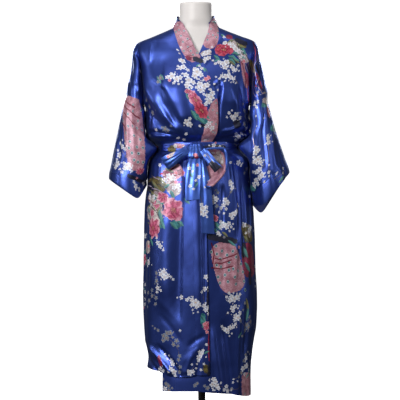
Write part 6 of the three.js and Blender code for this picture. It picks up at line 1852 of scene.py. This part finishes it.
B_FL = [(219, 62, 1.9, 0), (223, 63.5, 2.6, 0), (226.5, 62, 2.8, 0), (225, 67, 2.7, 0), (221.5, 66.5, 1.5, 0), (232.5, 68, 2.5, 0), (235.5, 70, 2.1, 0), (238, 66, 1.4, 0), (215.5, 63.5, 1.5, 0), (229, 66, 1.4, 0), (228.5, 70.5, 1.2, 0), (239, 71, 1.0, 0), (213, 60.5, 1.1, 0),
        (222, 76, 1.9, 0), (226, 76.5, 2.8, 0), (230.5, 77, 2.6, 0), (233.5, 79, 1.8, 0), (219.5, 78.5, 1.4, 0), (236, 83, 0.9, 0), (233.5, 82, 0.9, 0), (229, 73, 1.2, 0), (225, 81, 1.0, 0), (231, 82.5, 0.8, 0), (216, 77, 1.0, 0),
        (218, 90, 1.1, 0), (214, 84, 1.2, 0), (229, 113, 1.5, 0), (231.5, 116.5, 1.7, 0), (236, 115, 2.8, 0), (234, 118.5, 2.4, 0), (240, 118, 2.0, 0), (227, 117, 1.0, 0), (232, 110.5, 0.9, 0), (244.5, 111, 2.0, 2), (245, 117, 2.0, 2), (244.5, 124, 2.2, 2), (246.5, 129, 2.3, 0), (243, 104, 1.4, 2),
        (236, 133.5, 2.2, 0), (238.5, 136.5, 3.0, 0), (242, 140, 3.0, 0), (245.5, 142.5, 2.6, 0), (248.5, 145, 2.4, 0), (241, 133.5, 1.5, 0), (236, 140, 1.8, 0), (246, 136, 1.5, 0), (242, 145, 1.5, 0), (246, 151, 1.6, 2),
        (232.5, 46, 2.6, 0), (236, 49, 2.6, 0), (239.5, 52, 2.3, 0), (241, 57, 2.1, 0), (244, 61, 1.9, 1), (225, 43, 2.0, 0), (229.5, 44, 1.8, 0), (262, 98, 2.0, 0), (258, 92, 1.2, 0), (224, 37, 1.4, 0),
        (230.5, 162.5, 1.5, 0), (238.5, 163, 2.6, 0), (241, 165.5, 1.2, 0), (246.5, 169, 2.0, 2), (244.5, 173, 1.5, 2), (248.5, 182, 0.9, 0), (231, 184, 2.3, 0), (232.5, 188, 2.0, 0), (230, 181, 1.3, 0), (231, 192, 1.3, 2), (249.5, 196, 1.3, 0),
        (213, 197, 2.1, 0), (216, 199, 2.5, 0), (213, 202, 2.4, 0), (218, 192.5, 1.6, 2), (216, 190, 1.2, 2), (225, 200, 2.3, 0), (227.5, 202.5, 2.3, 0), (223.5, 205, 2.1, 0), (221, 208, 1.9, 0), (226, 209, 1.5, 0), (217, 206, 1.7, 2), (219, 212, 1.3, 0), (224, 213.5, 1.1, 0),
        (231, 215, 2.3, 0), (234.5, 213.5, 2.4, 0), (237, 211, 1.9, 0), (232.5, 218, 1.7, 0), (238.5, 206, 0.9, 0), (237.5, 204, 0.8, 0), (220.5, 222, 1.8, 0), (223.5, 225, 3.0, 0), (226.5, 227, 2.3, 0), (220.5, 227, 1.9, 0), (229, 223.5, 2.0, 0), (231, 227, 1.4, 0), (233, 224, 0.9, 0), (233.5, 229, 0.9, 0), (229.5, 231, 1.1, 0),
        (218, 233, 1.9, 0), (220, 235, 1.4, 0), (244, 225, 2.5, 0), (249.5, 230, 2.4, 0), (251, 227.5, 1.5, 0), (246, 233, 1.2, 0), (224, 237, 1.3, 2), (239, 247, 1.5, 1),
        (229, 293, 1.4, 0), (231.5, 296.5, 2.2, 0), (234.5, 299, 3.0, 0), (230, 300.5, 2.3, 0), (238, 297, 2.3, 0), (233.5, 293, 0.9, 0), (237, 293.5, 0.9, 0), (240, 294, 1.4, 0), (226.5, 297, 1.4, 0), (232.5, 308, 2.4, 0), (235, 306.5, 2.0, 0), (233, 311, 1.8, 0), (235.5, 316, 2.2, 0), (238, 317.5, 2.9, 0), (235, 320, 1.9, 0), (240, 313, 1.9, 0), (240.5, 321, 1.9, 2), (243, 310, 1.2, 2), (245, 303, 1.5, 2), (228, 313, 1.1, 0),
        (249.5, 317, 1.7, 2), (250.5, 322, 2.0, 2), (246.5, 325, 2.4, 2), (248.5, 327.5, 2.0, 2), (245, 330, 2.1, 2), (247.5, 331, 1.4, 2), (242, 336, 1.2, 2), (224, 329, 1.9, 0), (227, 330.5, 2.4, 0), (230, 327.5, 2.2, 0), (233, 327, 2.0, 0), (228.5, 333, 0.9, 0), (232, 333.5, 0.9, 0), (229.5, 336, 0.8, 0), (222, 326.5, 1.2, 0), (235.5, 324, 1.4, 0),
        (248, 351.5, 0.9, 0), (249.5, 354, 0.8, 0), (245.5, 355, 1.6, 2), (246, 358.5, 2.1, 0), (244, 361, 1.8, 2), (250, 361.5, 1.2, 2), (246.5, 366, 2.6, 0), (243, 369, 2.5, 0), (248.5, 369.5, 2.1, 0), (241.5, 373, 1.9, 2), (244.5, 374.5, 1.6, 0), (239, 377, 1.4, 2), (233.5, 379, 0.9, 0), (237.5, 381.5, 0.8, 0), (233, 382.5, 1.1, 0),
        (210.5, 380, 1.4, 0), (213, 379, 1.8, 0), (215, 382, 2.4, 0), (212.5, 384.5, 2.4, 0), (216.5, 386, 2.4, 0), (214, 389, 2.0, 0), (207.5, 388, 2.1, 2), (205, 386, 1.4, 2), (219, 388.5, 1.8, 0), (224, 390, 1.6, 0), (226.5, 386.5, 1.9, 0), (228, 391, 2.0, 0), (231.5, 389, 1.6, 2), (221, 383, 1.2, 0),
        (195.5, 385.5, 1.9, 2), (197.5, 383.5, 1.5, 2), (166, 384, 1.9, 2), (168.5, 386, 2.0, 2), (165, 389, 2.2, 0), (169, 390.5, 1.8, 2), (167, 393, 1.4, 0), (163.5, 386, 1.2, 2), (172, 388, 1.2, 2), (163, 379, 1.4, 2)]
B_SR = [(120.5, 143, 1.6, 0), (122.5, 146.5, 2.1, 0), (125, 149, 1.8, 0), (119.5, 155, 2.6, 0), (117.5, 164, 2.9, 0), (115.5, 167.5, 2.1, 0), (127, 165.5, 3.0, 0), (129.5, 168, 2.4, 0), (122, 172, 1.6, 0), (125, 143.5, 0.9, 0), (126.5, 146, 0.8, 0), (122.5, 140, 0.8, 0), (118, 150.5, 1.2, 0), (124, 163, 1.4, 0), (120, 169, 1.2, 0), (124.5, 168.5, 1.7, 0), (117, 159.5, 1.3, 0), (130, 163.5, 0.9, 0), (132, 171, 1.1, 0), (126, 96, 1.6, 2)]
B_CR = [(136, 186.5, 1.9, 0), (143.5, 183, 2.3, 0), (146.5, 180.5, 1.7, 0), (134, 182, 1.2, 0), (139.5, 189, 1.2, 0), (137, 178, 1.2, 1)]
B_SL = [(255, 103.5, 2.3, 0), (258, 101.5, 1.9, 0), (256.5, 107, 1.6, 0), (256, 116, 1.0, 0), (268, 138, 2.1, 0), (268.5, 142.5, 2.3, 0), (267.5, 135.5, 1.2, 0), (256, 148, 2.2, 0), (255.5, 152.5, 2.3, 0), (258.5, 150, 1.5, 0), (258, 159.5, 3.0, 0), (255, 161.5, 2.0, 0), (260.5, 162.5, 2.1, 0), (254, 157, 1.3, 0), (259.5, 169.5, 2.2, 0), (257, 171.5, 2.0, 0), (262, 175, 2.5, 0), (259.5, 177.5, 2.1, 0), (256, 181, 2.3, 0), (254, 185, 2.3, 0), (258, 184, 1.6, 0), (269, 172, 1.4, 0), (269, 176, 0.9, 0), (264, 182, 1.0, 0), (264, 160, 0.9, 0), (272, 119, 1.2, 1), (264.5, 118, 1.0, 0), (268, 99.5, 1.5, 0), (269, 165, 0.9, 0), (256.5, 126, 0.8, 0), (253, 172, 1.2, 0)]
for group, rows_b in (((FR, BR), B_FR + B_BR), ((BL, FL), B_BL + B_FL), ((SR, CR), B_SR + B_CR), ((SL, CL), B_SL)):
    for row in sorted(rows_b, key=lambda q: -q[2]):
        for pr_ in group:
            pr_.bloom(*row)

# little seeded buds and stamens around the larger blossoms
rng = np.random.RandomState(4)
for pr_, rows_b in ((FR, B_FR), (BR, B_BR), (FL, B_FL), (SR, B_SR), (SL, B_SL)):
    for x, y, r, kd in rows_b:
        if r > 1.9 and rng.rand() < 0.75:
            for _ in range(rng.randint(1, 4)):
                a = rng.uniform(0, 6.28)
                q = r + rng.uniform(0.8, 2.2)
                pr_.bloom(x + q * math.cos(a), y + q * math.sin(a), rng.uniform(0.45, 0.8), kd if kd != 1 else 0)

# ---- belt: a plain spray, blossoms and a pink passage
for x, y, r in ((189.5, 168, 1.7), (192.5, 171.5, 1.3), (199, 177, 1.8), (196, 180.5, 1.2), (190, 186, 1.6), (193.5, 189, 1.2)):
    TS.bloom(x, y, r, 0)
TS.bloom(197.5, 165, 1.5, 1)
TS.leaf(190, 173, 193, 178, 2.6)
TS.leaf(198, 182, 195, 187, 2.6)
for x, y, r in ((199, 205, 1.8), (203, 208.5, 2.6), (206, 207, 1.8), (201, 212, 2.7), (204, 214, 2.4), (199, 214.5, 1.9), (206.5, 211.5, 1.6), (202, 204, 1.0), (207, 217, 1.0)):
    TL.bloom(x, y, r, 0)
for x, y, r in ((204, 176, 0.9), (205, 187, 1.0)):
    TL.bloom(x, y, r, 0)
KN.bloom(195.5, 155, 1.7, 1)
KN.area('f_maroon', field(196, 156, 3, 2, 50))
LL.area('f_grey', field(171, 154, 2.5, 4.5, 35))
LL.bloom(168, 156.5, 1.4, 1)
LR.area('f_pink', field(214, 168, 11.5, 18.5, 0))
for q_ in (FR, FL):
    q_.area('f_pink', field(211, 175, 8.5, 9, 30))
    q_.area('f_grey', field(218, 157, 8.5, 4.5, 45))
LR.area('f_grey', field(220, 158, 7, 3, 70))
LR.area('f_grey', field(207, 174, 5.5, 2.5, 80))
for x, y, r in ((213, 153, 1.6), (220, 156, 2.0), (222, 162, 1.6), (206, 172, 1.8), (209, 180, 1.5)):
    LR.bloom(x, y, r, 0)
ST.area('f_ink_and_shadow', field(214, 168, 7, 5.5, 30))
ST.bloom(205, 155.5, 1.5, 0)
ST.line([(207, 154), (213, 162)], 0.9, 0)
BW.area('f_olive', field(172, 149, 3.5, 4, 60))
BW.area('f_pink', field(179, 146, 6, 2.5, 5))
BW.area('f_ink_and_shadow', field(215, 147, 11, 2, 0))
BW.area('f_teal', field(216, 147, 2, 7.5, 85))
BW.bloom(175.5, 146, 1.8, 0)
BW.bloom(180, 146.5, 1.6, 1)
BW.bloom(184, 147, 1.2, 0)

# ---- back, sides and the hidden faces: the same motifs in an even, generic scatter
def scatter(pr_, spots, seed):
    r_ = np.random.RandomState(seed)
    for kind, u, v, *rest in spots:
        if kind == 'spray':
            pr_.spray(u, v, rest[0], rest[1], r_.randint(1 << 30), rest[2] if len(rest) > 2 else 10.0)
        elif kind == 'peony':
            pr_.peony(u, v, rest[0], r_.randint(1 << 30))
        elif kind == 'swath':
            pr_.uv_area('f_pink', rest[0])


BK.uv_area('f_pink', [(40, 1330), (150, 1370), (190, 1300), (150, 1190), (90, 1100), (60, 1075), (40, 1120), (10, 1230)])
BK.uv_area('f_pink', [(-210, 640), (-120, 700), (-40, 640), (-20, 520), (-60, 400), (-130, 330), (-200, 360), (-230, 500)])
BK.uv_area('f_olive', [(60, 1350), (100, 1385), (150, 1372), (110, 1352)])
BK.uv_area('f_maroon', [(10, 1230), (40, 1330), (55, 1325), (28, 1228)])
BK.uv_area('f_teal', [(-225, 640), (-180, 690), (-120, 706), (-160, 672)])
BK.uv_area('f_maroon', [(-235, 500), (-214, 640), (-200, 632), (-218, 500)])
BK.eyes_in('f_pink', 27.0, 5)
scatter(BK, [
    ('peony', -20, 1330, 34), ('peony', -58, 1292, 24), ('peony', 70, 1050 - 120, 26), ('peony', 10, 700, 36), ('peony', -40, 668, 26), ('peony', 150, 470, 34), ('peony', 110, 430, 24),
    ('peony', -150, 1100, 24), ('peony', -150, 860, 30), ('peony', 200, 760, 26), ('peony', 30, 290, 26), ('peony', -180, 262, 22),
    ('spray', -50, 1280, 4.0, 7), ('spray', -120, 1320, 4.3, 6), ('spray', -170, 1210, 5.0, 6), ('spray', 0, 1210, 4.2, 7), ('spray', -30, 1130, 5.4, 6), ('spray', 170, 1180, 4.9, 5),
    ('spray', 20, 960, 4.0, 7), ('spray', 130, 950, 5.2, 8), ('spray', -60, 930, 3.7, 7), ('spray', -170, 800, 5.2, 6), ('spray', 20, 850, 5.5, 8), ('spray', 110, 800, 0.3, 7), ('spray', 180, 700, 4.6, 8),
    ('spray', 60, 620, 5.4, 9), ('spray', 130, 560, 4.2, 6), ('spray', -20, 480, 5.3, 8), ('spray', 60, 420, 4.0, 8), ('spray', 200, 380, 4.4, 7), ('spray', -90, 300, 0.4, 8), ('spray', 110, 300, 3.6, 7), ('spray', -240, 900, 4.8, 7), ('spray', 250, 560, 4.7, 8), ('spray', -250, 420, 4.6, 6), ('spray', 255, 900, 4.6, 6), ('spray', -30, 780, 3.3, 6)], 51)
scatter(BK, [('spray', -130, 236, 0.5, 8), ('spray', 0, 236, 5.7, 8), ('spray', 120, 214, 0.7, 6), ('peony', 60, 214 + 4, 22), ('spray', -60, 330, 3.5, 6), ('spray', 170, 300, 5.2, 6), ('peony', 160, 236, 20), ('spray', 40, 540, 3.4, 6), ('spray', -170, 300, 0.4, 5)], 63)
# sides of the fronts, beyond the picture's edge
scatter(FR, [('spray', -262, 930, 4.9, 6), ('spray', -268, 720, 4.6, 7), ('peony', -262, 620, 22), ('spray', -260, 540, 4.8, 7), ('spray', -266, 400, 4.5, 6)], 52)
scatter(FL, [('spray', 262, 930, 4.5, 6), ('peony', 262, 820, 22), ('spray', 262, 760, 4.8, 6), ('spray', 266, 600, 4.6, 7), ('spray', 262, 440, 4.8, 6), ('spray', 266, 300, 4.6, 6)], 53)
# sleeves: back halves
for pr_, sd, up in ((SR, 54, 1), (SL, 55, -1)):
    half = pr_.sh.span / 2
    if sd == 54:
        pr_.uv_area('f_pink', [(half + 8, 0), (half + 90, 0), (half + 110, -90), (half + 70, -190), (half + 20, -235), (half - 6, -200)])
    pr_.eyes_in('f_pink', 26.0, sd, region=(pr_.uv[..., 0] > half + 4))
    scatter(pr_, [('peony', half + 150, -70, 24), ('spray', half + 190, -40, 4.6, 7), ('spray', half + 130, -150, 5.2, 6), ('spray', half + 60, -180 if sd == 54 else -90, 4.4, 6), ('spray', half + 40, -40, 4.9, 6), ('peony', half + 90, -200, 20)], sd)
for pr_, sd in ((CR, 56), (CL, 57)):
    half = pr_.sh.span / 2
    scatter(pr_, [('spray', half + 30, -14, 0.1, 6, 8.0), ('spray', half + 130, -20, 0.1, 6, 8.0)], sd)
scatter(CL, [('spray', 60, -20, 0.0, 4, 7.0)], 58)
# belt round the waist and its hidden stretches
scatter(BW, [('spray', u_, -1, 0.05, 5, 7.5) for u_ in (20, 120, 420, 520, 620, 700)], 59)
# collar at the back of the neck and the lower bands
for pr_, sd in ((BR, 60), (BL, 61)):
    for k_ in range(3):
        pr_.spray(22, -18 - 46 * k_, -1.5, 3, sd * 10 + k_, 6.5, False)
for pr_ in PR.values():
    pr_.done()

# =====================================================================  put the cloth in place
for s_ in S.values():
    for k_ in FIELDS:
        s_.layers.setdefault(k_, np.full(s_.P.shape[:2], -30.0))
    for k_, _ in LAYERS:
        s_.layers.setdefault(k_, np.full(s_.has.shape + (4, 3), 9.0, np.float32))

for node, s_ in S.items():
    # the bow's pieces take the lightened satin (painted light), the waist band the plain one
    ob = s_.build([SATIN_BELT_LIT if node.startswith('belt') and node != 'belt_waist' else SATIN, SATIN_BACK])
    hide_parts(node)
    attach(ob, "root")


def shell_area(s_):
    j2 = (np.arange(s_.has.shape[1]) + 1) % s_.P.shape[1]
    a, b = s_.P[:-1, :s_.has.shape[1]], s_.P[:-1][:, j2]
    d, c = s_.P[1:, :s_.has.shape[1]], s_.P[1:][:, j2]
    ar = 0.5 * np.linalg.norm(np.cross(c - a, d - b), axis=-1)
    return float(ar[s_.has].sum()) * 1e-6


for node, s_ in S.items():
    print("area", node, round(shell_area(s_), 4), "quads", int(s_.has.sum()))


# =====================================================================  dress form and stand
def lathe_like(name, rings, mats, cap_top=True, cap_bottom=True):
    R_, C_ = rings.shape[:2]
    verts = list(rings.reshape(-1, 3) * MM)
    faces = [(i * C_ + j, i * C_ + (j + 1) % C_, (i + 1) * C_ + (j + 1) % C_, (i + 1) * C_ + j) for i in range(R_ - 1) for j in range(C_)]
    if cap_bottom:
        verts.append(rings[0].mean(0) * MM)
        faces += [(j, len(verts) - 1, (j + 1) % C_) for j in range(C_)]
    if cap_top:
        verts.append(rings[-1].mean(0) * MM)
        faces += [((R_ - 1) * C_ + (j + 1) % C_, len(verts) - 1, (R_ - 1) * C_ + j) for j in range(C_)]
    me = bpy.data.meshes.new(name)
    me.from_pydata([tuple(v) for v in verts], [], faces)
    import bmesh
    bm = bmesh.new()
    bm.from_mesh(me)
    bmesh.ops.recalc_face_normals(bm, faces=bm.faces)
    bm.to_mesh(me)
    bm.free()
    me.shade_smooth()
    me.set_sharp_from_angle(angle=math.radians(40))
    for m in mats:
        me.materials.append(m)
    ob = bpy.data.objects.new(name, me)
    bpy.context.scene.collection.objects.link(ob)
    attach(ob, "root")
    return ob


def form_material():
    g = Nodes("form_shell")
    tc = g.t.nodes.new('ShaderNodeTexCoord').outputs['Object']
    n = g.noise(tc, 14.0, 4.0)
    fine = g.noise(tc, 700.0, 2.0)
    g.put(g.bsdf.inputs['Base Color'], g.mix(g.ramp(n, 0.35, 0.65, 0, 1), lin(210, 205, 202), lin(216, 211, 208)))
    g.put(g.bsdf.inputs['Roughness'], g.ramp(fine, 0.3, 0.7, 0.40, 0.50))
    g.put(g.bsdf.inputs['Normal'], g.bump(fine, 0.08, 0.0003))
    g.bsdf.inputs['Specular IOR Level'].default_value = 0.4
    return g.mat


def metal_material():
    g = Nodes("stand_paint")
    tc = g.t.nodes.new('ShaderNodeTexCoord').outputs['Object']
    n = g.noise(tc, 60.0, 4.0)
    fine = g.noise(tc, 1100.0, 2.0)
    g.put(g.bsdf.inputs['Base Color'], g.mix(g.ramp(n, 0.3, 0.7, 0, 1), lin(50, 50, 52), lin(64, 64, 66)))
    g.put(g.bsdf.inputs['Roughness'], g.ramp(n, 0.3, 0.7, 0.42, 0.55))
    g.put(g.bsdf.inputs['Normal'], g.bump(fine, 0.12, 0.0003))
    g.bsdf.inputs['Metallic'].default_value = 0.15
    return g.mat


FORM_MAT, METAL = form_material(), metal_material()
zs = np.unique(np.concatenate([np.linspace(700, 730, 16), np.linspace(730, 1340, 80), np.linspace(1340, 1493, 60)]))
aa = np.linspace(0, 2 * np.pi, 129)[:-1]
Zf, Af = np.meshgrid(zs, aa, indexing='ij')
e = 2 / read(FORM, 'square', Zf)
sA, cA = np.sin(Af), np.cos(Af)
dep = np.where(cA > 0, read(FORM, 'front', Zf), read(FORM, 'back', Zf))
rings = np.stack([read(FORM, 'half', Zf) * np.sign(sA) * np.abs(sA) ** e, -dep * np.sign(cA) * np.abs(cA) ** e, Zf], -1)
# rounded top edge and foot
top = []
for t in np.linspace(0.12, 1, 9):
    a = t * math.pi / 2
    f = 1 - (1 - math.cos(a)) * 0.125
    top.append(np.stack([rings[-1, :, 0] * f, rings[-1, :, 1] * f, np.full(128, 1493 + 7 * math.sin(a))], -1))
rings = np.concatenate([rings, np.array(top)])
form = lathe_like("dress_form_shell", rings, [FORM_MAT])
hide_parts("dress_form")


def lathe(name, profile, n=96):
    prof = np.array(profile, float)
    a = np.linspace(0, 2 * np.pi, n + 1)[:-1]
    rr = np.stack([prof[:, :1] * np.cos(a)[None], prof[:, :1] * np.sin(a)[None], np.repeat(prof[:, 1:2], n, 1)], -1)
    return lathe_like(name, rr, [METAL])


pole = lathe("stand_pole_tube", [[12.5, 12.3], [12.5, 60], [12.5, 400], [12.5, 699.7]], 64)
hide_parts("stand_pole")
arc_ = lambda cx, cz, r, a0, a1, n: [[cx + r * math.cos(math.radians(a)), cz + r * math.sin(math.radians(a))] for a in np.linspace(a0, a1, n)]
base_prof = [[2, 0], [157, 0]] + arc_(157, 3, 3, -90, 0, 6)[1:] + [[160, 7]] + arc_(155, 7, 5, 0, 90, 8)[1:] + [[26, 12]] + arc_(26, 17, 5, 270, 180, 6)[1:] + [[21, 46]] + arc_(17, 47, 4, 0, 90, 7) + [[12.9, 51], [12.9, 12.5]]
base = lathe("stand_base_disc", base_prof, 128)
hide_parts("stand_base")

# =====================================================================  floor and light
def stage_material(name, near, far, r0, r1):
    """Pale studio paint whose own light rises away from the middle of the floor."""
    g = Nodes(name)
    tc = g.t.nodes.new('ShaderNodeTexCoord').outputs['Object']
    n = g.noise(tc, 0.8, 2.0)
    x_, y_, _ = g.xyz(tc)
    r = g.m('SQRT', g.m('ADD', g.m('MULTIPLY', x_, x_), g.m('MULTIPLY', y_, y_)))
    g.put(g.bsdf.inputs['Base Color'], g.mix(g.ramp(n, 0.3, 0.7, 0, 1), (0.90, 0.90, 0.90), (0.92, 0.92, 0.92)))
    g.bsdf.inputs['Roughness'].default_value = 0.9
    g.bsdf.inputs['Specular IOR Level'].default_value = 0.1
    g.bsdf.inputs['Emission Color'].default_value = (1, 1, 1, 1)
    g.put(g.bsdf.inputs['Emission Strength'], g.ramp(r, r0, r1, near, far))
    return g.mat


def ring_mesh(name, prof, mat, n=96):
    vs, fs = [], []
    for r, z in prof:
        vs += [(r * math.cos(2 * math.pi * k / n), r * math.sin(2 * math.pi * k / n), z) for k in range(n)]
    for i_ in range(len(prof) - 1):
        fs += [(i_ * n + k, i_ * n + (k + 1) % n, (i_ + 1) * n + (k + 1) % n, (i_ + 1) * n + k) for k in range(n)]
    me = bpy.data.meshes.new(name)
    me.from_pydata(vs, [], fs)
    me.shade_smooth()
    me.materials.append(mat)
    ob = bpy.data.objects.new(name, me)
    bpy.context.scene.collection.objects.link(ob)
    return ob


floor = ring_mesh("floor", [(0.002, -0.0005), (0.6, -0.0005), (2.0, -0.0005), (12.0, -0.0005)], stage_material("studio_floor", 0.0, 0.95, 0.7, 1.25))
floor.visible_glossy = False
floor.visible_diffuse = False
paper = ring_mesh("studio_paper", [(11.9, -0.0004)] + [(11.9 * math.cos(math.radians(a)), 11.9 * math.sin(math.radians(a))) for a in range(4, 90, 5)] + [(0.01, 11.9)],
                  stage_material("studio_paper", 1.0, 1.0, 0.0, 1.0))
for k_ in ('visible_diffuse', 'visible_glossy', 'visible_transmission', 'visible_shadow', 'visible_volume_scatter'):
    setattr(paper, k_, False)

bpy.context.scene.view_settings.view_transform = 'Standard'
world = bpy.data.worlds.new("studio")
bpy.context.scene.world = world
world.use_nodes = True
wt = world.node_tree
bg = wt.nodes['Background']
geo = wt.nodes.new('ShaderNodeTexCoord')
sep = wt.nodes.new('ShaderNodeSeparateXYZ')
wt.links.new(geo.outputs['Generated'], sep.inputs[0])
rmp = wt.nodes.new('ShaderNodeMapRange')
wt.links.new(sep.outputs[2], rmp.inputs[0])
rmp.inputs[1].default_value, rmp.inputs[2].default_value = -0.1, 0.95
rmp.inputs[3].default_value, rmp.inputs[4].default_value = 0.03, 0.22
bg.inputs[0].default_value = (1.0, 1.0, 1.0, 1)
wt.links.new(rmp.outputs[0], bg.inputs[1])


def area(name, loc, aim, size, power, color=(1, 1, 1), size_y=None):
    L = bpy.data.lights.new(name, 'AREA')
    L.shape = 'RECTANGLE'
    L.size, L.size_y = size, size_y or size
    L.energy = power
    L.color = color
    ob = bpy.data.objects.new(name, L)
    ob.location = loc
    ob.rotation_mode = 'QUATERNION'
    ob.rotation_quaternion = (Vector(aim) - Vector(loc)).to_track_quat('-Z', 'Y')
    bpy.context.scene.collection.objects.link(ob)
    return ob


area("key", (-1.5, -3.1, 1.95), (0, 0, 1.15), 0.95, 96, size_y=1.0)
area("fill", (2.0, -2.7, 1.9), (0, 0, 1.3), 0.5, 11, size_y=0.6)
area("side_right", (3.0, -1.1, 1.1), (0, 0, 1.0), 0.4, 9, size_y=1.0)
area("side_left", (-3.0, -0.9, 1.5), (0, 0, 1.1), 0.5, 16, size_y=1.0)
area("top", (0.0, -0.9, 3.6), (0, 0, 1.2), 1.2, 26)
area("back_left", (-1.3, 3.1, 2.0), (0, 0.1, 1.05), 0.9, 46)
area("back_right", (1.5, 3.0, 2.0), (0, 0.1, 1.05), 0.7, 24)
